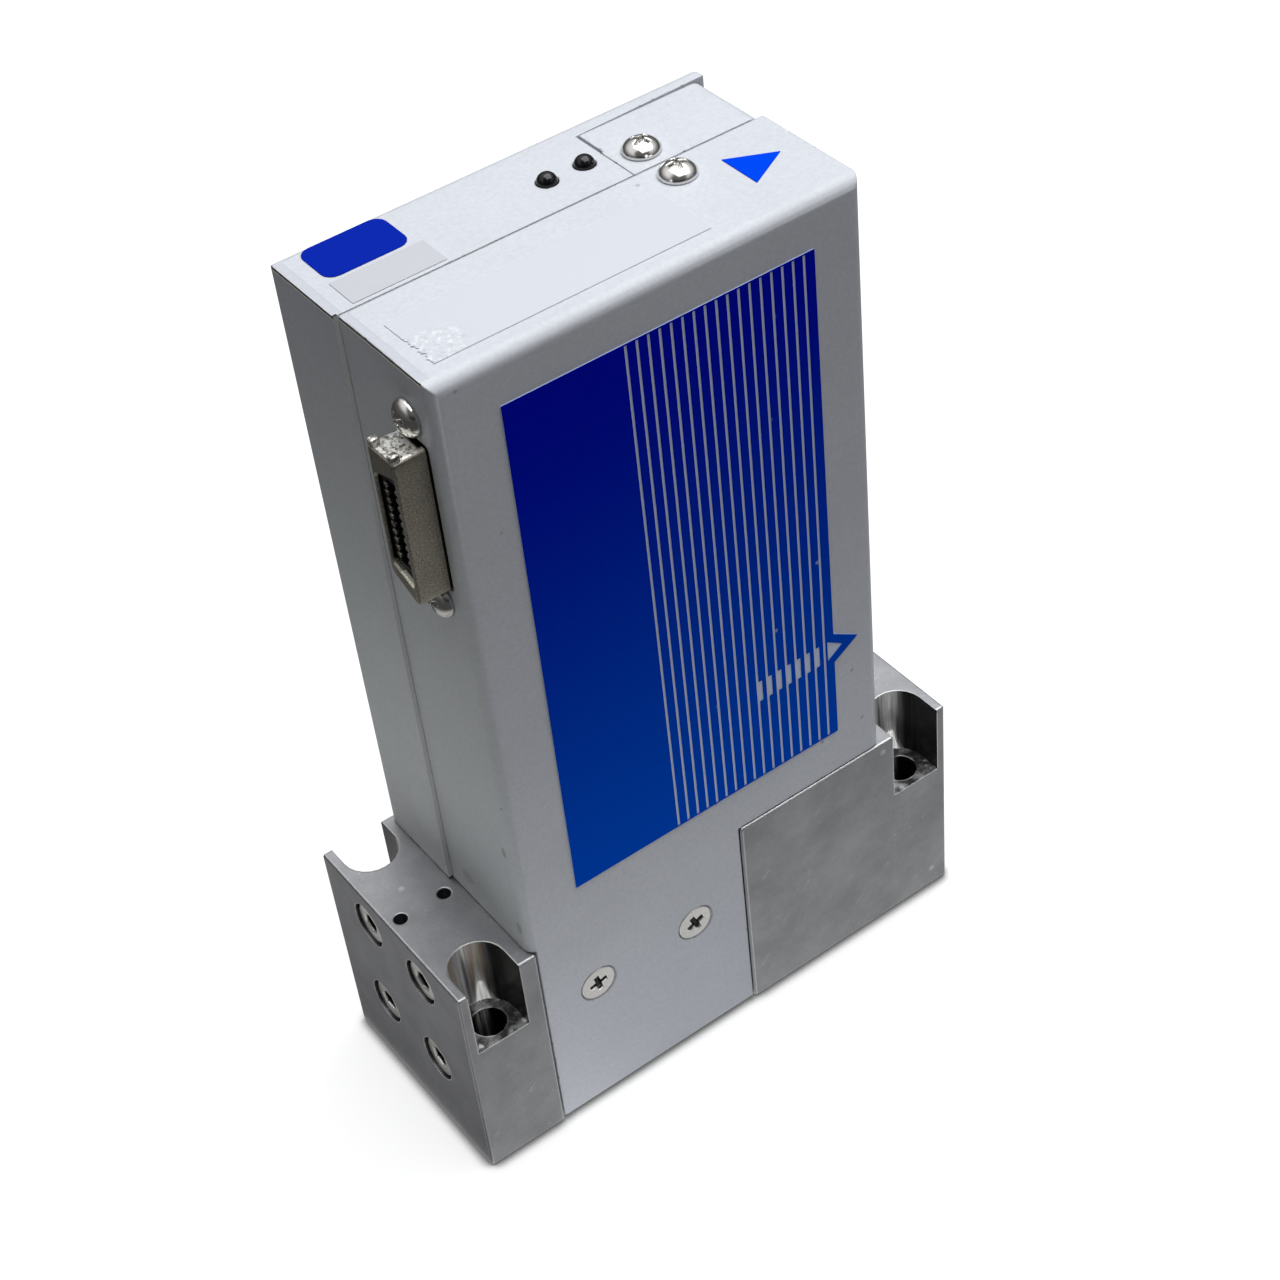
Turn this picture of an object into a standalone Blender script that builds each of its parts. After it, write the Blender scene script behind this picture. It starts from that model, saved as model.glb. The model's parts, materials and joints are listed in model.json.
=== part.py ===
"""Mass flow controller for a 1.5 inch surface-mount gas panel, modelled piece by piece.

Metres, +Z up. The origin is at the middle of the underside of the two gas blocks. +X is the
direction of flow and -Y is the front, which carries the print.
"""

import math

import bmesh
import bpy
from mathutils import Matrix, Vector

# Gaps that neighbours keep
FIT = 0.0003
FILM_GAP = 0.00003
OVERCUT = 0.0010

# Gas blocks
BLOCK_DEPTH = 0.03815
BLOCK_HEIGHT = 0.0391
BLOCK_CHAMFER = 0.0003
INLET_LENGTH = 0.0137

# Panel bolts: open recesses with a seat and a hole through the block
BOLT_PITCH_X = 0.0798
BOLT_PITCH_Y = 0.0300
BOLT_INSET = 0.0061
BOLT_HOLE = 0.0055
BOLT_SEAT_HEIGHT = 0.0262
RECESS_WIDTH = 0.0090

# Gas passages
PORT_SEAL_BORE = 0.0086
PORT_SEAL_DEPTH = 0.0022
PORT_BORE = 0.0040
GAS_BORE = 0.0036
GAS_HEIGHT = 0.0240
BRANCH_BORE = 0.0018
BLIND_HOLE = 0.0023
BLIND_HOLE_PITCH = 0.0077
BLIND_HOLE_DEPTH = 0.0060

# Tie screws that draw the blocks together
TIE_PITCH_Y = 0.0146
TIE_PITCH_Z = 0.0180
TIE_SHANK = 0.0040
TIE_HEAD = 0.0070
TIE_HEAD_HEIGHT = 0.0026
TIE_HEX = 0.0030
TIE_HEX_DEPTH = 0.0016
TIE_ENGAGEMENT = 0.0080
TIE_SINK = 0.0004

# Ring gaskets between the blocks, and the orifice plate
JOINT_GASKET_OUTER = 0.0074
JOINT_GASKET_INNER = 0.0044
JOINT_GASKET_THICKNESS = 0.0012
JOINT_POCKET = 0.0008
ORIFICE_THICKNESS = 0.0006
ORIFICE_HOLE = 0.0005

# Control valve
VALVE_INSET = 0.0155
VALVE_BORE = 0.0160
VALVE_BORE_DEPTH = 0.0080
VALVE_OUTLET_OFFSET = 0.0055
SEAT_OUTER = 0.0050
SEAT_INNER = 0.0024
SEAT_RING_HEIGHT = 0.0012
DIAPHRAGM_THICKNESS = 0.0003
DIAPHRAGM_DOME = 0.0006
BONNET_FLANGE = 0.0018
BONNET_NECK = 0.0096
BONNET_HEIGHT = 0.0180
NUT_ACROSS_FLATS = 0.0180
NUT_HEAD_HEIGHT = 0.0065
NUT_THREAD_LENGTH = 0.0036
ROD_DIAMETER = 0.0044
ROD_LENGTH = 0.0210
ROD_COLLAR = 0.0016
SPRING_THICKNESS = 0.0005
SPRING_RISE = 0.0007
CASE_OUTER = 0.0160
CASE_WALL = 0.0014
CASE_LENGTH = 0.0540
STACK_WIDTH = 0.0070
STACK_LENGTH = 0.0360
CAP_LENGTH = 0.0075
CAP_INSET = 0.0040

# Pressure sensors on both sides of the orifice
UPSTREAM_SENSOR_PITCH = 0.0155
UPSTREAM_SENSOR_INSET = 0.0061
DOWNSTREAM_SENSOR_INSET = 0.0090
SENSOR_BORE = 0.0080
SENSOR_BORE_DEPTH = 0.0070
SENSOR_HEX = 0.0120
SENSOR_HEX_HEIGHT = 0.0040
SENSOR_CAN = 0.0105
SENSOR_CAN_HEIGHT = 0.0120
SENSOR_PIN = 0.0007
SENSOR_PIN_LENGTH = 0.0030
SENSOR_PIN_CIRCLE = 0.0050
SENSOR_GASKET_THICKNESS = 0.0008

# Folded covers
COVER_RISE = 0.1027
COVER_OVERHANG = 0.0009
REAR_COVER_EXTRA = 0.0006
COVER_SETBACK = 0.0003
SHEET = 0.0010
BEND = 0.0017
TOP_BEND = 0.0021
COVER_BOTTOM = 0.0004
SEAM_Y = 0.0018
LEG_SCREW_HEIGHT = 0.0250
LEG_SCREW_PITCH = 0.0183

# Access plate in the notch of the rear cover
PLATE_LENGTH = 0.0212
PLATE_REAR_MARGIN = 0.003875
PLATE_LIP = 0.0080
NOTCH_TAPER = 0.0006
PLATE_JOG = 0.0003
PLATE_JOG_LENGTH = 0.0056

# Screws with a cross recess
PAN_HEAD = 0.0054
PAN_HEAD_HEIGHT = 0.0018
PAN_RIM = 0.0004
M3_SHANK = 0.0030
TOP_SCREW_INSET = 0.0043
REAR_SCREW_INSET = 0.0042
FRONT_SCREW_INSET = 0.0038
TOP_SCREW_LENGTH = 0.0050
FLAT_HEAD = 0.0060
FLAT_HEAD_HEIGHT = 0.0016
FLAT_SCREW_LENGTH = 0.0080

# Indicator lamps
LAMP_DIAMETER = 0.0030
LAMP_PITCH = 0.0060
LAMP_PLATE_GAP = 0.0031
LAMP_REAR_MARGIN = 0.010175
LAMP_RISE = 0.0014
LAMP_BODY_HEIGHT = 0.0048
LAMP_FLANGE = 0.0038
LEAD_THICKNESS = 0.0005
LEAD_PITCH = 0.0020
LEAD_DROP = 0.0060

# Twenty-way connector on the left side
CONNECTOR_FRONT_MARGIN = 0.006175
CONNECTOR_TOP_MARGIN = 0.0221
SHELL_WIDTH = 0.0062
SHELL_HEIGHT = 0.0230
SHELL_PROUD = 0.0049
SHELL_CORNER = 0.0007
SHELL_FLANGE_WIDTH = 0.0086
SHELL_FLANGE_THICKNESS = 0.0010
SOCKET_WIDTH = 0.0050
SOCKET_LONG = 0.0178
SOCKET_SHORT = 0.0142
SOCKET_DEPTH = 0.0036
SLOT_WIDTH = 0.0022
SLOT_LENGTH = 0.0132
SLOT_DEPTH = 0.0018
CONTACTS_PER_ROW = 10
CONTACT_PITCH = 0.00127
CONTACT_WIDTH = 0.0006
CONTACT_PROUD = 0.0004
CONNECTOR_SCREW_PITCH = 0.0294
CONNECTOR_SCREW_LENGTH = 0.0052
SCREW_BOSS = 0.0062

# Chassis and boards
CHASSIS_SHEET = 0.0012
CHASSIS_RAISE = 0.0089
CHASSIS_REAR_GAP = 0.0004
CHASSIS_SIDE_GAP = 0.0004
CHASSIS_WEB_GAP = 0.0032
CHASSIS_TAB_LENGTH = 0.0206
CHASSIS_TAB_MARGIN = 0.0042
CHASSIS_FRONT_MARGIN = 0.003275
FOOT_LENGTH = 0.0073
FOOT_WIDTH = 0.0070
FOOT_SCREW_INSET = 0.0040
FOOT_SCREW_LENGTH = 0.0055
BOARD_THICKNESS = 0.0016
BOARD_STANDOFF = 0.0036
BOARD_STANDOFF_DIAMETER = 0.0050
BOARD_SIDE_MARGIN = 0.0010
BOARD_RAISE = 0.0109
BOARD_TOP_MARGIN = 0.0078
BOARD_HOLE_INSET = 0.0045
BOARD_SCREW_LENGTH = 0.0040
SMALL_HEAD = 0.0044
SMALL_HEAD_HEIGHT = 0.0014
M2_5_SHANK = 0.0022
CHIP_HEIGHT = 0.0014
CHIP_RAISE = 0.0180
CHIP_PITCH = 0.0130
CHIPS = ((0.0150, 0.0140, 0.0060), (0.0100, 0.0080, 0.0080), (0.0080, 0.0120, 0.0120),
         (0.0180, 0.0080, 0.0060), (0.0120, 0.0180, 0.0050))
CONNECTOR_BOARD_WIDTH = 0.0110
CONNECTOR_BOARD_HEIGHT = 0.0390

# Label on the front, with its print of stripes and a flow arrow
FRONT_LABEL_THICKNESS = 0.00008
PRINT_THICKNESS = 0.00006
PRINT_MARGIN = 0.0002
PRINT_LEFT_MARGIN = 0.0092
PRINT_RIGHT_MARGIN = 0.0084
PRINT_RAISE = 0.0085
PRINT_TOP_MARGIN = 0.0072
STRIPE_COUNT = 17
STRIPE_MARGIN = 0.001524
STRIPE_PITCH = 0.001776
STRIPE_WIDTH = 0.00046
ARROW_RAISE = 0.0170
ARROW_TIP = 0.0045
ARROW_HALF = 0.0028
ARROW_BORDER = 0.0012
FLOW_BARS = 7
BAR_WIDTH = 0.0011
BAR_HEIGHT = 0.0039

# Labels on the top
LABEL_THICKNESS = 0.00010
GAS_LABEL_LENGTH = 0.0126
GAS_LABEL_WIDTH = 0.0081
GAS_LABEL_CORNER = 0.0018
GAS_LABEL_LEFT_MARGIN = 0.0030
RANGE_LABEL_LENGTH = 0.0140
RANGE_LABEL_WIDTH = 0.0058
RANGE_LABEL_LEFT_MARGIN = 0.0027
RANGE_LABEL_GAP = 0.0007
RANGE_LABEL_SEAM_GAP = 0.0008
RATING_LABEL_LENGTH = 0.0419
RATING_LABEL_WIDTH = 0.0110
RATING_LABEL_LEFT_MARGIN = 0.0031
RATING_LABEL_FRONT_MARGIN = 0.003775
FLOW_MARK_LENGTH = 0.0068
FLOW_MARK_WIDTH = 0.0075
FLOW_MARK_RIGHT_MARGIN = 0.0040
FLOW_MARK_FRONT_MARGIN = 0.007975

# Round pieces
FINE = 24
MEDIUM = 16
COARSE = 12
HIDDEN = 8

# Places worked out from the sizes above
BLOCK_HALF_DEPTH = BLOCK_DEPTH / 2
PORT_X = BOLT_PITCH_X / 2
BODY_RIGHT = PORT_X + BOLT_INSET
BODY_LEFT = -BODY_RIGHT
INLET_RIGHT = BODY_LEFT + INLET_LENGTH
VALVE_BODY_LEFT = INLET_RIGHT + FIT
VALVE_X = VALVE_BODY_LEFT + VALVE_INSET
UPSTREAM_SENSOR_X = VALVE_X + UPSTREAM_SENSOR_PITCH
VALVE_BODY_RIGHT = UPSTREAM_SENSOR_X + UPSTREAM_SENSOR_INSET
OUTLET_LEFT = VALVE_BODY_RIGHT + FIT
COVER_FACE = BLOCK_HALF_DEPTH - COVER_SETBACK
COVER_INSIDE = COVER_FACE - SHEET
COVER_TOP = BLOCK_HEIGHT + COVER_RISE
COVER_EDGE = BLOCK_HEIGHT + FIT
COVER_LEFT = INLET_RIGHT - COVER_OVERHANG
COVER_RIGHT = -COVER_LEFT
REAR_COVER_RIGHT = COVER_RIGHT + REAR_COVER_EXTRA
VALVE_BODY_HALF_DEPTH = COVER_INSIDE - FIT
LEG_MIDDLE = (VALVE_BODY_LEFT + VALVE_BODY_RIGHT) / 2
JOINT_POCKET_BORE = JOINT_GASKET_OUTER + 2 * FIT
DOWNSTREAM_SENSOR_X = OUTLET_LEFT + DOWNSTREAM_SENSOR_INSET
CHAMBER_FLOOR = BLOCK_HEIGHT - VALVE_BORE_DEPTH
SEAT_TOP = CHAMBER_FLOOR + FIT + SEAT_RING_HEIGHT
DIAPHRAGM_BASE = SEAT_TOP + FIT
BONNET_BASE = DIAPHRAGM_BASE + DIAPHRAGM_THICKNESS + FIT
BONNET_TOP = BONNET_BASE + BONNET_HEIGHT
NUT_TOP = BLOCK_HEIGHT + FIT + NUT_HEAD_HEIGHT
CASE_BASE = NUT_TOP + FIT
CASE_TOP = CASE_BASE + CASE_LENGTH
ROD_BASE = BONNET_BASE + DIAPHRAGM_DOME
ROD_TOP = ROD_BASE + ROD_LENGTH
STACK_BASE = ROD_TOP + FIT
STACK_TOP = STACK_BASE + STACK_LENGTH
PLATE_LEFT = COVER_RIGHT - PLATE_LENGTH
PLATE_REAR = COVER_FACE - PLATE_REAR_MARGIN
TOP_SCREW_X = PLATE_LEFT + TOP_SCREW_INSET
TOP_SCREW_Y = (SEAM_Y + REAR_SCREW_INSET, SEAM_Y - FRONT_SCREW_INSET)
LAMP_RIGHT_X = PLATE_LEFT - LAMP_PLATE_GAP
LAMP_X = (LAMP_RIGHT_X - LAMP_PITCH, LAMP_RIGHT_X)
LAMP_Y = COVER_FACE - LAMP_REAR_MARGIN
CONNECTOR_Y = CONNECTOR_FRONT_MARGIN - COVER_FACE
CONNECTOR_Z = COVER_TOP - CONNECTOR_TOP_MARGIN
CHASSIS_BACK = COVER_INSIDE - CHASSIS_REAR_GAP
CHASSIS_SIDE = COVER_RIGHT - SHEET - CHASSIS_SIDE_GAP
CHASSIS_TOP = COVER_TOP - SHEET - FIT
CHASSIS_BOTTOM = BLOCK_HEIGHT + CHASSIS_RAISE
CHASSIS_WEB_LEFT = COVER_LEFT + SHEET + CHASSIS_WEB_GAP
CHASSIS_SIDE_FRONT = CHASSIS_FRONT_MARGIN - COVER_FACE
FOOT_SCREW_X = CHASSIS_SIDE - FOOT_SCREW_INSET
FOOT_SCREW_Y = -CHASSIS_SIDE_FRONT - FOOT_WIDTH / 2
BOARD_LEFT = CHASSIS_WEB_LEFT + BOARD_SIDE_MARGIN
BOARD_RIGHT = CHASSIS_SIDE - CHASSIS_SHEET - 2 * BOARD_SIDE_MARGIN
BOARD_BOTTOM = BLOCK_HEIGHT + BOARD_RAISE
BOARD_TOP = COVER_TOP - BOARD_TOP_MARGIN
BOARD_BACK = CHASSIS_BACK - CHASSIS_SHEET - BOARD_STANDOFF
BOARD_FRONT = BOARD_BACK - BOARD_THICKNESS
PRINT_LEFT = COVER_LEFT + PRINT_LEFT_MARGIN
PRINT_RIGHT = COVER_RIGHT - PRINT_RIGHT_MARGIN
PRINT_BOTTOM = BLOCK_HEIGHT + PRINT_RAISE
PRINT_TOP = COVER_TOP - PRINT_TOP_MARGIN
ARROW_HEIGHT = PRINT_BOTTOM + ARROW_RAISE


def material(name, color, roughness, metallic=0.0):
    """A plain surface of one colour."""
    made = bpy.data.materials.new(name)
    made.use_nodes = True
    shader = made.node_tree.nodes["Principled BSDF"]
    shader.inputs["Base Color"].default_value = (*color, 1.0)
    shader.inputs["Roughness"].default_value = roughness
    shader.inputs["Metallic"].default_value = metallic
    made.diffuse_color = (*color, 1.0)
    return made


def finish_mesh(mesh, smooth_angle=35.0):
    """Shades round stretches smooth and keeps real edges crisp."""
    mesh.shade_smooth()
    mesh.set_sharp_from_angle(angle=math.radians(smooth_angle))


def make_object(name, shape, surface):
    """Turns a bmesh into a named object, with every face pointing out."""
    bmesh.ops.recalc_face_normals(shape, faces=shape.faces[:])
    mesh = bpy.data.meshes.new(name)
    shape.to_mesh(mesh)
    shape.free()
    made = bpy.data.objects.new(name, mesh)
    bpy.context.scene.collection.objects.link(made)
    if surface is not None:
        mesh.materials.append(surface)
    finish_mesh(mesh)
    return made


def box(name, x, y, z, surface=None, chamfer=0.0):
    """A block between pairs of limits, with its edges broken by a chamfer if one is given."""
    shape = bmesh.new()
    bmesh.ops.create_cube(shape, size=1.0)
    size = Vector((x[1] - x[0], y[1] - y[0], z[1] - z[0]))
    centre = Vector((x[0] + x[1], y[0] + y[1], z[0] + z[1])) / 2
    bmesh.ops.transform(shape, matrix=Matrix.LocRotScale(centre, None, size), verts=shape.verts)
    if chamfer:
        bmesh.ops.bevel(shape, geom=shape.edges[:], offset=chamfer, segments=1, affect="EDGES")
    return make_object(name, shape, surface)


def place(axis, along, across, up):
    """A point from its place along an axis and its two other coordinates in X, Y, Z order."""
    if axis == "X":
        return Vector((along, across, up))
    if axis == "Y":
        return Vector((across, along, up))
    return Vector((across, up, along))


def prism(name, axis, outline, start, end, surface=None, end_outline=None):
    """An outline carried along an axis, tapering to the end outline if one is given."""
    shape = bmesh.new()
    first = [shape.verts.new(place(axis, start, u, v)) for u, v in outline]
    last = [shape.verts.new(place(axis, end, u, v)) for u, v in (end_outline or outline)]
    shape.faces.new(first)
    shape.faces.new(last)
    count = len(first)
    for index in range(count):
        after = (index + 1) % count
        shape.faces.new((first[index], first[after], last[after], last[index]))
    return make_object(name, shape, surface)


def lathe(name, profile, surface=None, segments=FINE):
    """A profile of radius and height points turned about Z. Points on the axis close the ends."""
    shape = bmesh.new()
    rings = []
    for radius, height in profile:
        if radius == 0.0:
            rings.append([shape.verts.new((0.0, 0.0, height))])
            continue
        turns = [2 * math.pi * step / segments for step in range(segments)]
        rings.append([shape.verts.new((radius * math.cos(a), radius * math.sin(a), height)) for a in turns])
    closed = len(rings[0]) > 1
    pairs = list(zip(rings, rings[1:]))
    if closed:
        pairs.append((rings[-1], rings[0]))
    for lower, upper in pairs:
        for index in range(segments):
            after = (index + 1) % segments
            corners = [lower[index % len(lower)], lower[after % len(lower)]]
            corners += [upper[after % len(upper)], upper[index % len(upper)]]
            shape.faces.new(list(dict.fromkeys(corners)))
    return make_object(name, shape, surface)


def move(made, location, direction=(0, 0, 1), roll=0.0):
    """Places an object, with its own +Z turned to a direction."""
    turn = Vector((0, 0, 1)).rotation_difference(Vector(direction))
    made.matrix_world = (Matrix.Translation(location) @ turn.to_matrix().to_4x4()
                         @ Matrix.Rotation(roll, 4, "Z"))
    return made


def cylinder(name, centre, axis, start, end, diameter, surface=None, segments=MEDIUM):
    """A round bar along an axis, centred on the two other coordinates in X, Y, Z order."""
    outline = circle(centre, diameter / 2, segments)
    return prism(name, axis, outline, start, end, surface)


def circle(centre, radius, segments):
    """The corners of a regular outline whose flats touch the radius on average."""
    turns = [2 * math.pi * (step + 0.5) / segments for step in range(segments)]
    return [(centre[0] + radius * math.cos(a), centre[1] + radius * math.sin(a)) for a in turns]


def arc(centre, radius, start, end, segments):
    """Points on an arc, from one angle to another in degrees."""
    steps = [math.radians(start + (end - start) * step / segments) for step in range(segments + 1)]
    return [(centre[0] + radius * math.cos(a), centre[1] + radius * math.sin(a)) for a in steps]


def hexagon(centre, across_flats, turn=0.0):
    """A hexagon with its flats the given distance apart."""
    radius = across_flats / math.sqrt(3)
    return [(centre[0] + radius * math.cos(math.radians(60 * step + turn)),
             centre[1] + radius * math.sin(math.radians(60 * step + turn))) for step in range(6)]


def rounded_rectangle(u, v, radius, segments=4):
    """A rectangle with round corners."""
    outline = []
    corners = ((u[1], v[1], 0), (u[0], v[1], 90), (u[0], v[0], 180), (u[1], v[0], 270))
    for corner_u, corner_v, start in corners:
        centre_u = corner_u - math.copysign(radius, corner_u - (u[0] + u[1]) / 2)
        centre_v = corner_v - math.copysign(radius, corner_v - (v[0] + v[1]) / 2)
        outline += arc((centre_u, centre_v), radius, start, start + 90, segments)
    return outline


def combine(target, tool, operation):
    """Cuts, joins or intersects two solids, and leaves one object with the result."""
    bpy.context.view_layer.update()
    modifier = target.modifiers.new("shape", "BOOLEAN")
    modifier.operation = operation
    modifier.solver = "EXACT"
    modifier.object = tool
    evaluated = target.evaluated_get(bpy.context.evaluated_depsgraph_get())
    mesh = bpy.data.meshes.new_from_object(evaluated)
    target.modifiers.clear()
    old = target.data
    mesh.name = old.name
    target.data = mesh
    bpy.data.meshes.remove(old)
    tool_mesh = tool.data
    bpy.data.objects.remove(tool)
    bpy.data.meshes.remove(tool_mesh)
    finish_mesh(mesh)
    return target


def cut(target, *tools):
    """Takes each tool's shape out of the target."""
    for tool in tools:
        combine(target, tool, "DIFFERENCE")
    return target


def join(target, *tools):
    """Fuses each tool with the target into one solid."""
    for tool in tools:
        combine(target, tool, "UNION")
    return target


def rename(made, name):
    """Gives an object and its mesh their final name."""
    made.name = name
    made.data.name = name
    return made


def copy_of(made, name):
    """A second object that shares the first one's mesh."""
    twin = bpy.data.objects.new(name, made.data)
    bpy.context.scene.collection.objects.link(twin)
    return twin


# Screws, made with the underside of the head at the origin and the shank along -Z

def cross_recess(width, arm, depth, top):
    """A tapered cross, for the driver."""
    def outline(reach, half):
        return [(reach, -half), (reach, half), (half, half), (half, reach), (-half, reach),
                (-half, half), (-reach, half), (-reach, -half), (-half, -half), (-half, -reach),
                (half, -reach), (half, -half)]
    upper = outline(width / 2, arm / 2)
    lower = outline(width / 4, arm / 3)
    return prism("recess", "Z", upper, top + OVERCUT / 4, top - depth, end_outline=lower)


def pan_screw(name, head, height, rim, shank, length, surface, segments=MEDIUM):
    """A domed head on a thin rim, with a cross recess."""
    crown = head / 2 * 0.94
    dome = [(crown * math.cos(math.radians(a)), rim + (height - rim) * math.sin(math.radians(a)))
            for a in (0, 25, 50, 75)]
    profile = [(0.0, -length), (shank / 2, -length), (shank / 2, 0.0), (head / 2, 0.0),
               (head / 2, rim), *dome, (0.0, height)]
    made = lathe(name, profile, surface, segments)
    return cut(made, cross_recess(head * 0.56, head * 0.13, height * 0.75, height))


def flat_screw(name, head, height, shank, length, surface):
    """A countersunk head with a cross recess. Its top is at the origin."""
    profile = [(0.0, -length), (shank / 2, -length), (shank / 2, -height), (head / 2, -height * 0.16),
               (head / 2, 0.0), (0.0, 0.0)]
    made = lathe(name, profile, surface, MEDIUM)
    return cut(made, cross_recess(head * 0.52, head * 0.13, height * 0.8, 0.0))


def socket_screw(name, length, surface):
    """A low cylinder head with a hexagon socket."""
    edge = TIE_HEAD_HEIGHT / 9
    profile = [(0.0, -length), (TIE_SHANK / 2, -length), (TIE_SHANK / 2, 0.0), (TIE_HEAD / 2, 0.0),
               (TIE_HEAD / 2, TIE_HEAD_HEIGHT - edge),
               (TIE_HEAD / 2 - edge, TIE_HEAD_HEIGHT), (0.0, TIE_HEAD_HEIGHT)]
    made = lathe(name, profile, surface, MEDIUM)
    socket = prism("socket", "Z", hexagon((0, 0), TIE_HEX), TIE_HEAD_HEIGHT + OVERCUT,
                   TIE_HEAD_HEIGHT - TIE_HEX_DEPTH)
    return cut(made, socket)


# Gas blocks

def bolt_recess(x, side):
    """The open recess over a panel bolt: straight walls to the face, a round back and a flat seat."""
    y = side * BOLT_PITCH_Y / 2
    radius = RECESS_WIDTH / 2
    mouth = side * (BLOCK_HALF_DEPTH + OVERCUT)
    outline = [(x - radius, mouth)]
    outline += arc((x, y), radius, 180, 180 + side * 180, COARSE)
    outline += [(x + radius, mouth)]
    return prism("recess", "Z", outline, BOLT_SEAT_HEIGHT, BLOCK_HEIGHT + OVERCUT)


def tie_places():
    """The four places of the tie screws across the joint, as Y and Z."""
    return [(y, z) for z in (GAS_HEIGHT + TIE_PITCH_Z / 2, GAS_HEIGHT - TIE_PITCH_Z / 2)
            for y in (-TIE_PITCH_Y / 2, TIE_PITCH_Y / 2)]


def cut_panel_interface(block, side):
    """The port, the bolt holes and the recesses of an end block. Side -1 is the inlet."""
    x = side * PORT_X
    cut(block,
        cylinder("seal", (x, 0), "Z", -OVERCUT, PORT_SEAL_DEPTH, PORT_SEAL_BORE),
        cylinder("riser", (x, 0), "Z", PORT_SEAL_DEPTH - OVERCUT, GAS_HEIGHT, PORT_BORE, segments=HIDDEN))
    for front in (-1, 1):
        y = front * BOLT_PITCH_Y / 2
        cut(block, bolt_recess(x, front),
            cylinder("hole", (x, y), "Z", -OVERCUT, BOLT_SEAT_HEIGHT + OVERCUT, BOLT_HOLE, segments=COARSE))


def cut_tie_holes(block, face, far, side):
    """The through holes and the head pockets of the tie screws, from an outer face inwards."""
    pocket = TIE_SINK + TIE_HEAD_HEIGHT + FIT
    for y, z in tie_places():
        cut(block,
            cylinder("clearance", (y, z), "X", face + side * OVERCUT, far - side * OVERCUT,
                     TIE_SHANK + 2 * FIT, segments=HIDDEN),
            cylinder("pocket", (y, z), "X", face + side * OVERCUT, face - side * pocket,
                     TIE_HEAD + 2 * FIT))


def joint_pocket(face, inwards, depth):
    """The shallow round pocket for a ring gasket, from a joint face into a block."""
    return cylinder("pocket", (0, GAS_HEIGHT), "X", face - inwards * OVERCUT, face + inwards * depth,
                    JOINT_POCKET_BORE)


def make_inlet_block(steel):
    block = box("inlet_block", (BODY_LEFT, INLET_RIGHT), (-BLOCK_HALF_DEPTH, BLOCK_HALF_DEPTH),
                (0.0, BLOCK_HEIGHT), steel, BLOCK_CHAMFER)
    cut_panel_interface(block, -1)
    cut_tie_holes(block, BODY_LEFT, INLET_RIGHT, -1)
    cut(block,
        cylinder("gas_line", (0, GAS_HEIGHT), "X", -PORT_X, INLET_RIGHT + OVERCUT, GAS_BORE,
                 segments=HIDDEN),
        joint_pocket(INLET_RIGHT, -1, JOINT_POCKET))
    for step in (-0.5, 0.5):
        x = -PORT_X + step * BLIND_HOLE_PITCH
        cut(block, cylinder("blind_hole", (x, 0), "Z", BLOCK_HEIGHT - BLIND_HOLE_DEPTH,
                            BLOCK_HEIGHT + OVERCUT, BLIND_HOLE, segments=COARSE))
    return block


def make_outlet_block(steel):
    block = box("outlet_block", (OUTLET_LEFT, BODY_RIGHT), (-BLOCK_HALF_DEPTH, BLOCK_HALF_DEPTH),
                (0.0, BLOCK_HEIGHT), steel, BLOCK_CHAMFER)
    cut_panel_interface(block, 1)
    cut_tie_holes(block, BODY_RIGHT, OUTLET_LEFT, 1)
    cut(block,
        cylinder("gas_line", (0, GAS_HEIGHT), "X", OUTLET_LEFT - OVERCUT, PORT_X, GAS_BORE,
                 segments=HIDDEN),
        joint_pocket(OUTLET_LEFT, 1, JOINT_POCKET + ORIFICE_THICKNESS + FIT),
        sensor_bore(DOWNSTREAM_SENSOR_X),
        cylinder("tap", (DOWNSTREAM_SENSOR_X, 0), "Z", GAS_HEIGHT,
                 BLOCK_HEIGHT - SENSOR_BORE_DEPTH + OVERCUT, BRANCH_BORE, segments=HIDDEN))
    for y in (-FOOT_SCREW_Y, FOOT_SCREW_Y):
        cut(block, cylinder("tapped_hole", (FOOT_SCREW_X, y), "Z", BLOCK_HEIGHT - FOOT_SCREW_LENGTH,
                            BLOCK_HEIGHT + OVERCUT, M3_SHANK + 2 * FIT, segments=HIDDEN))
    return block


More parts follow.
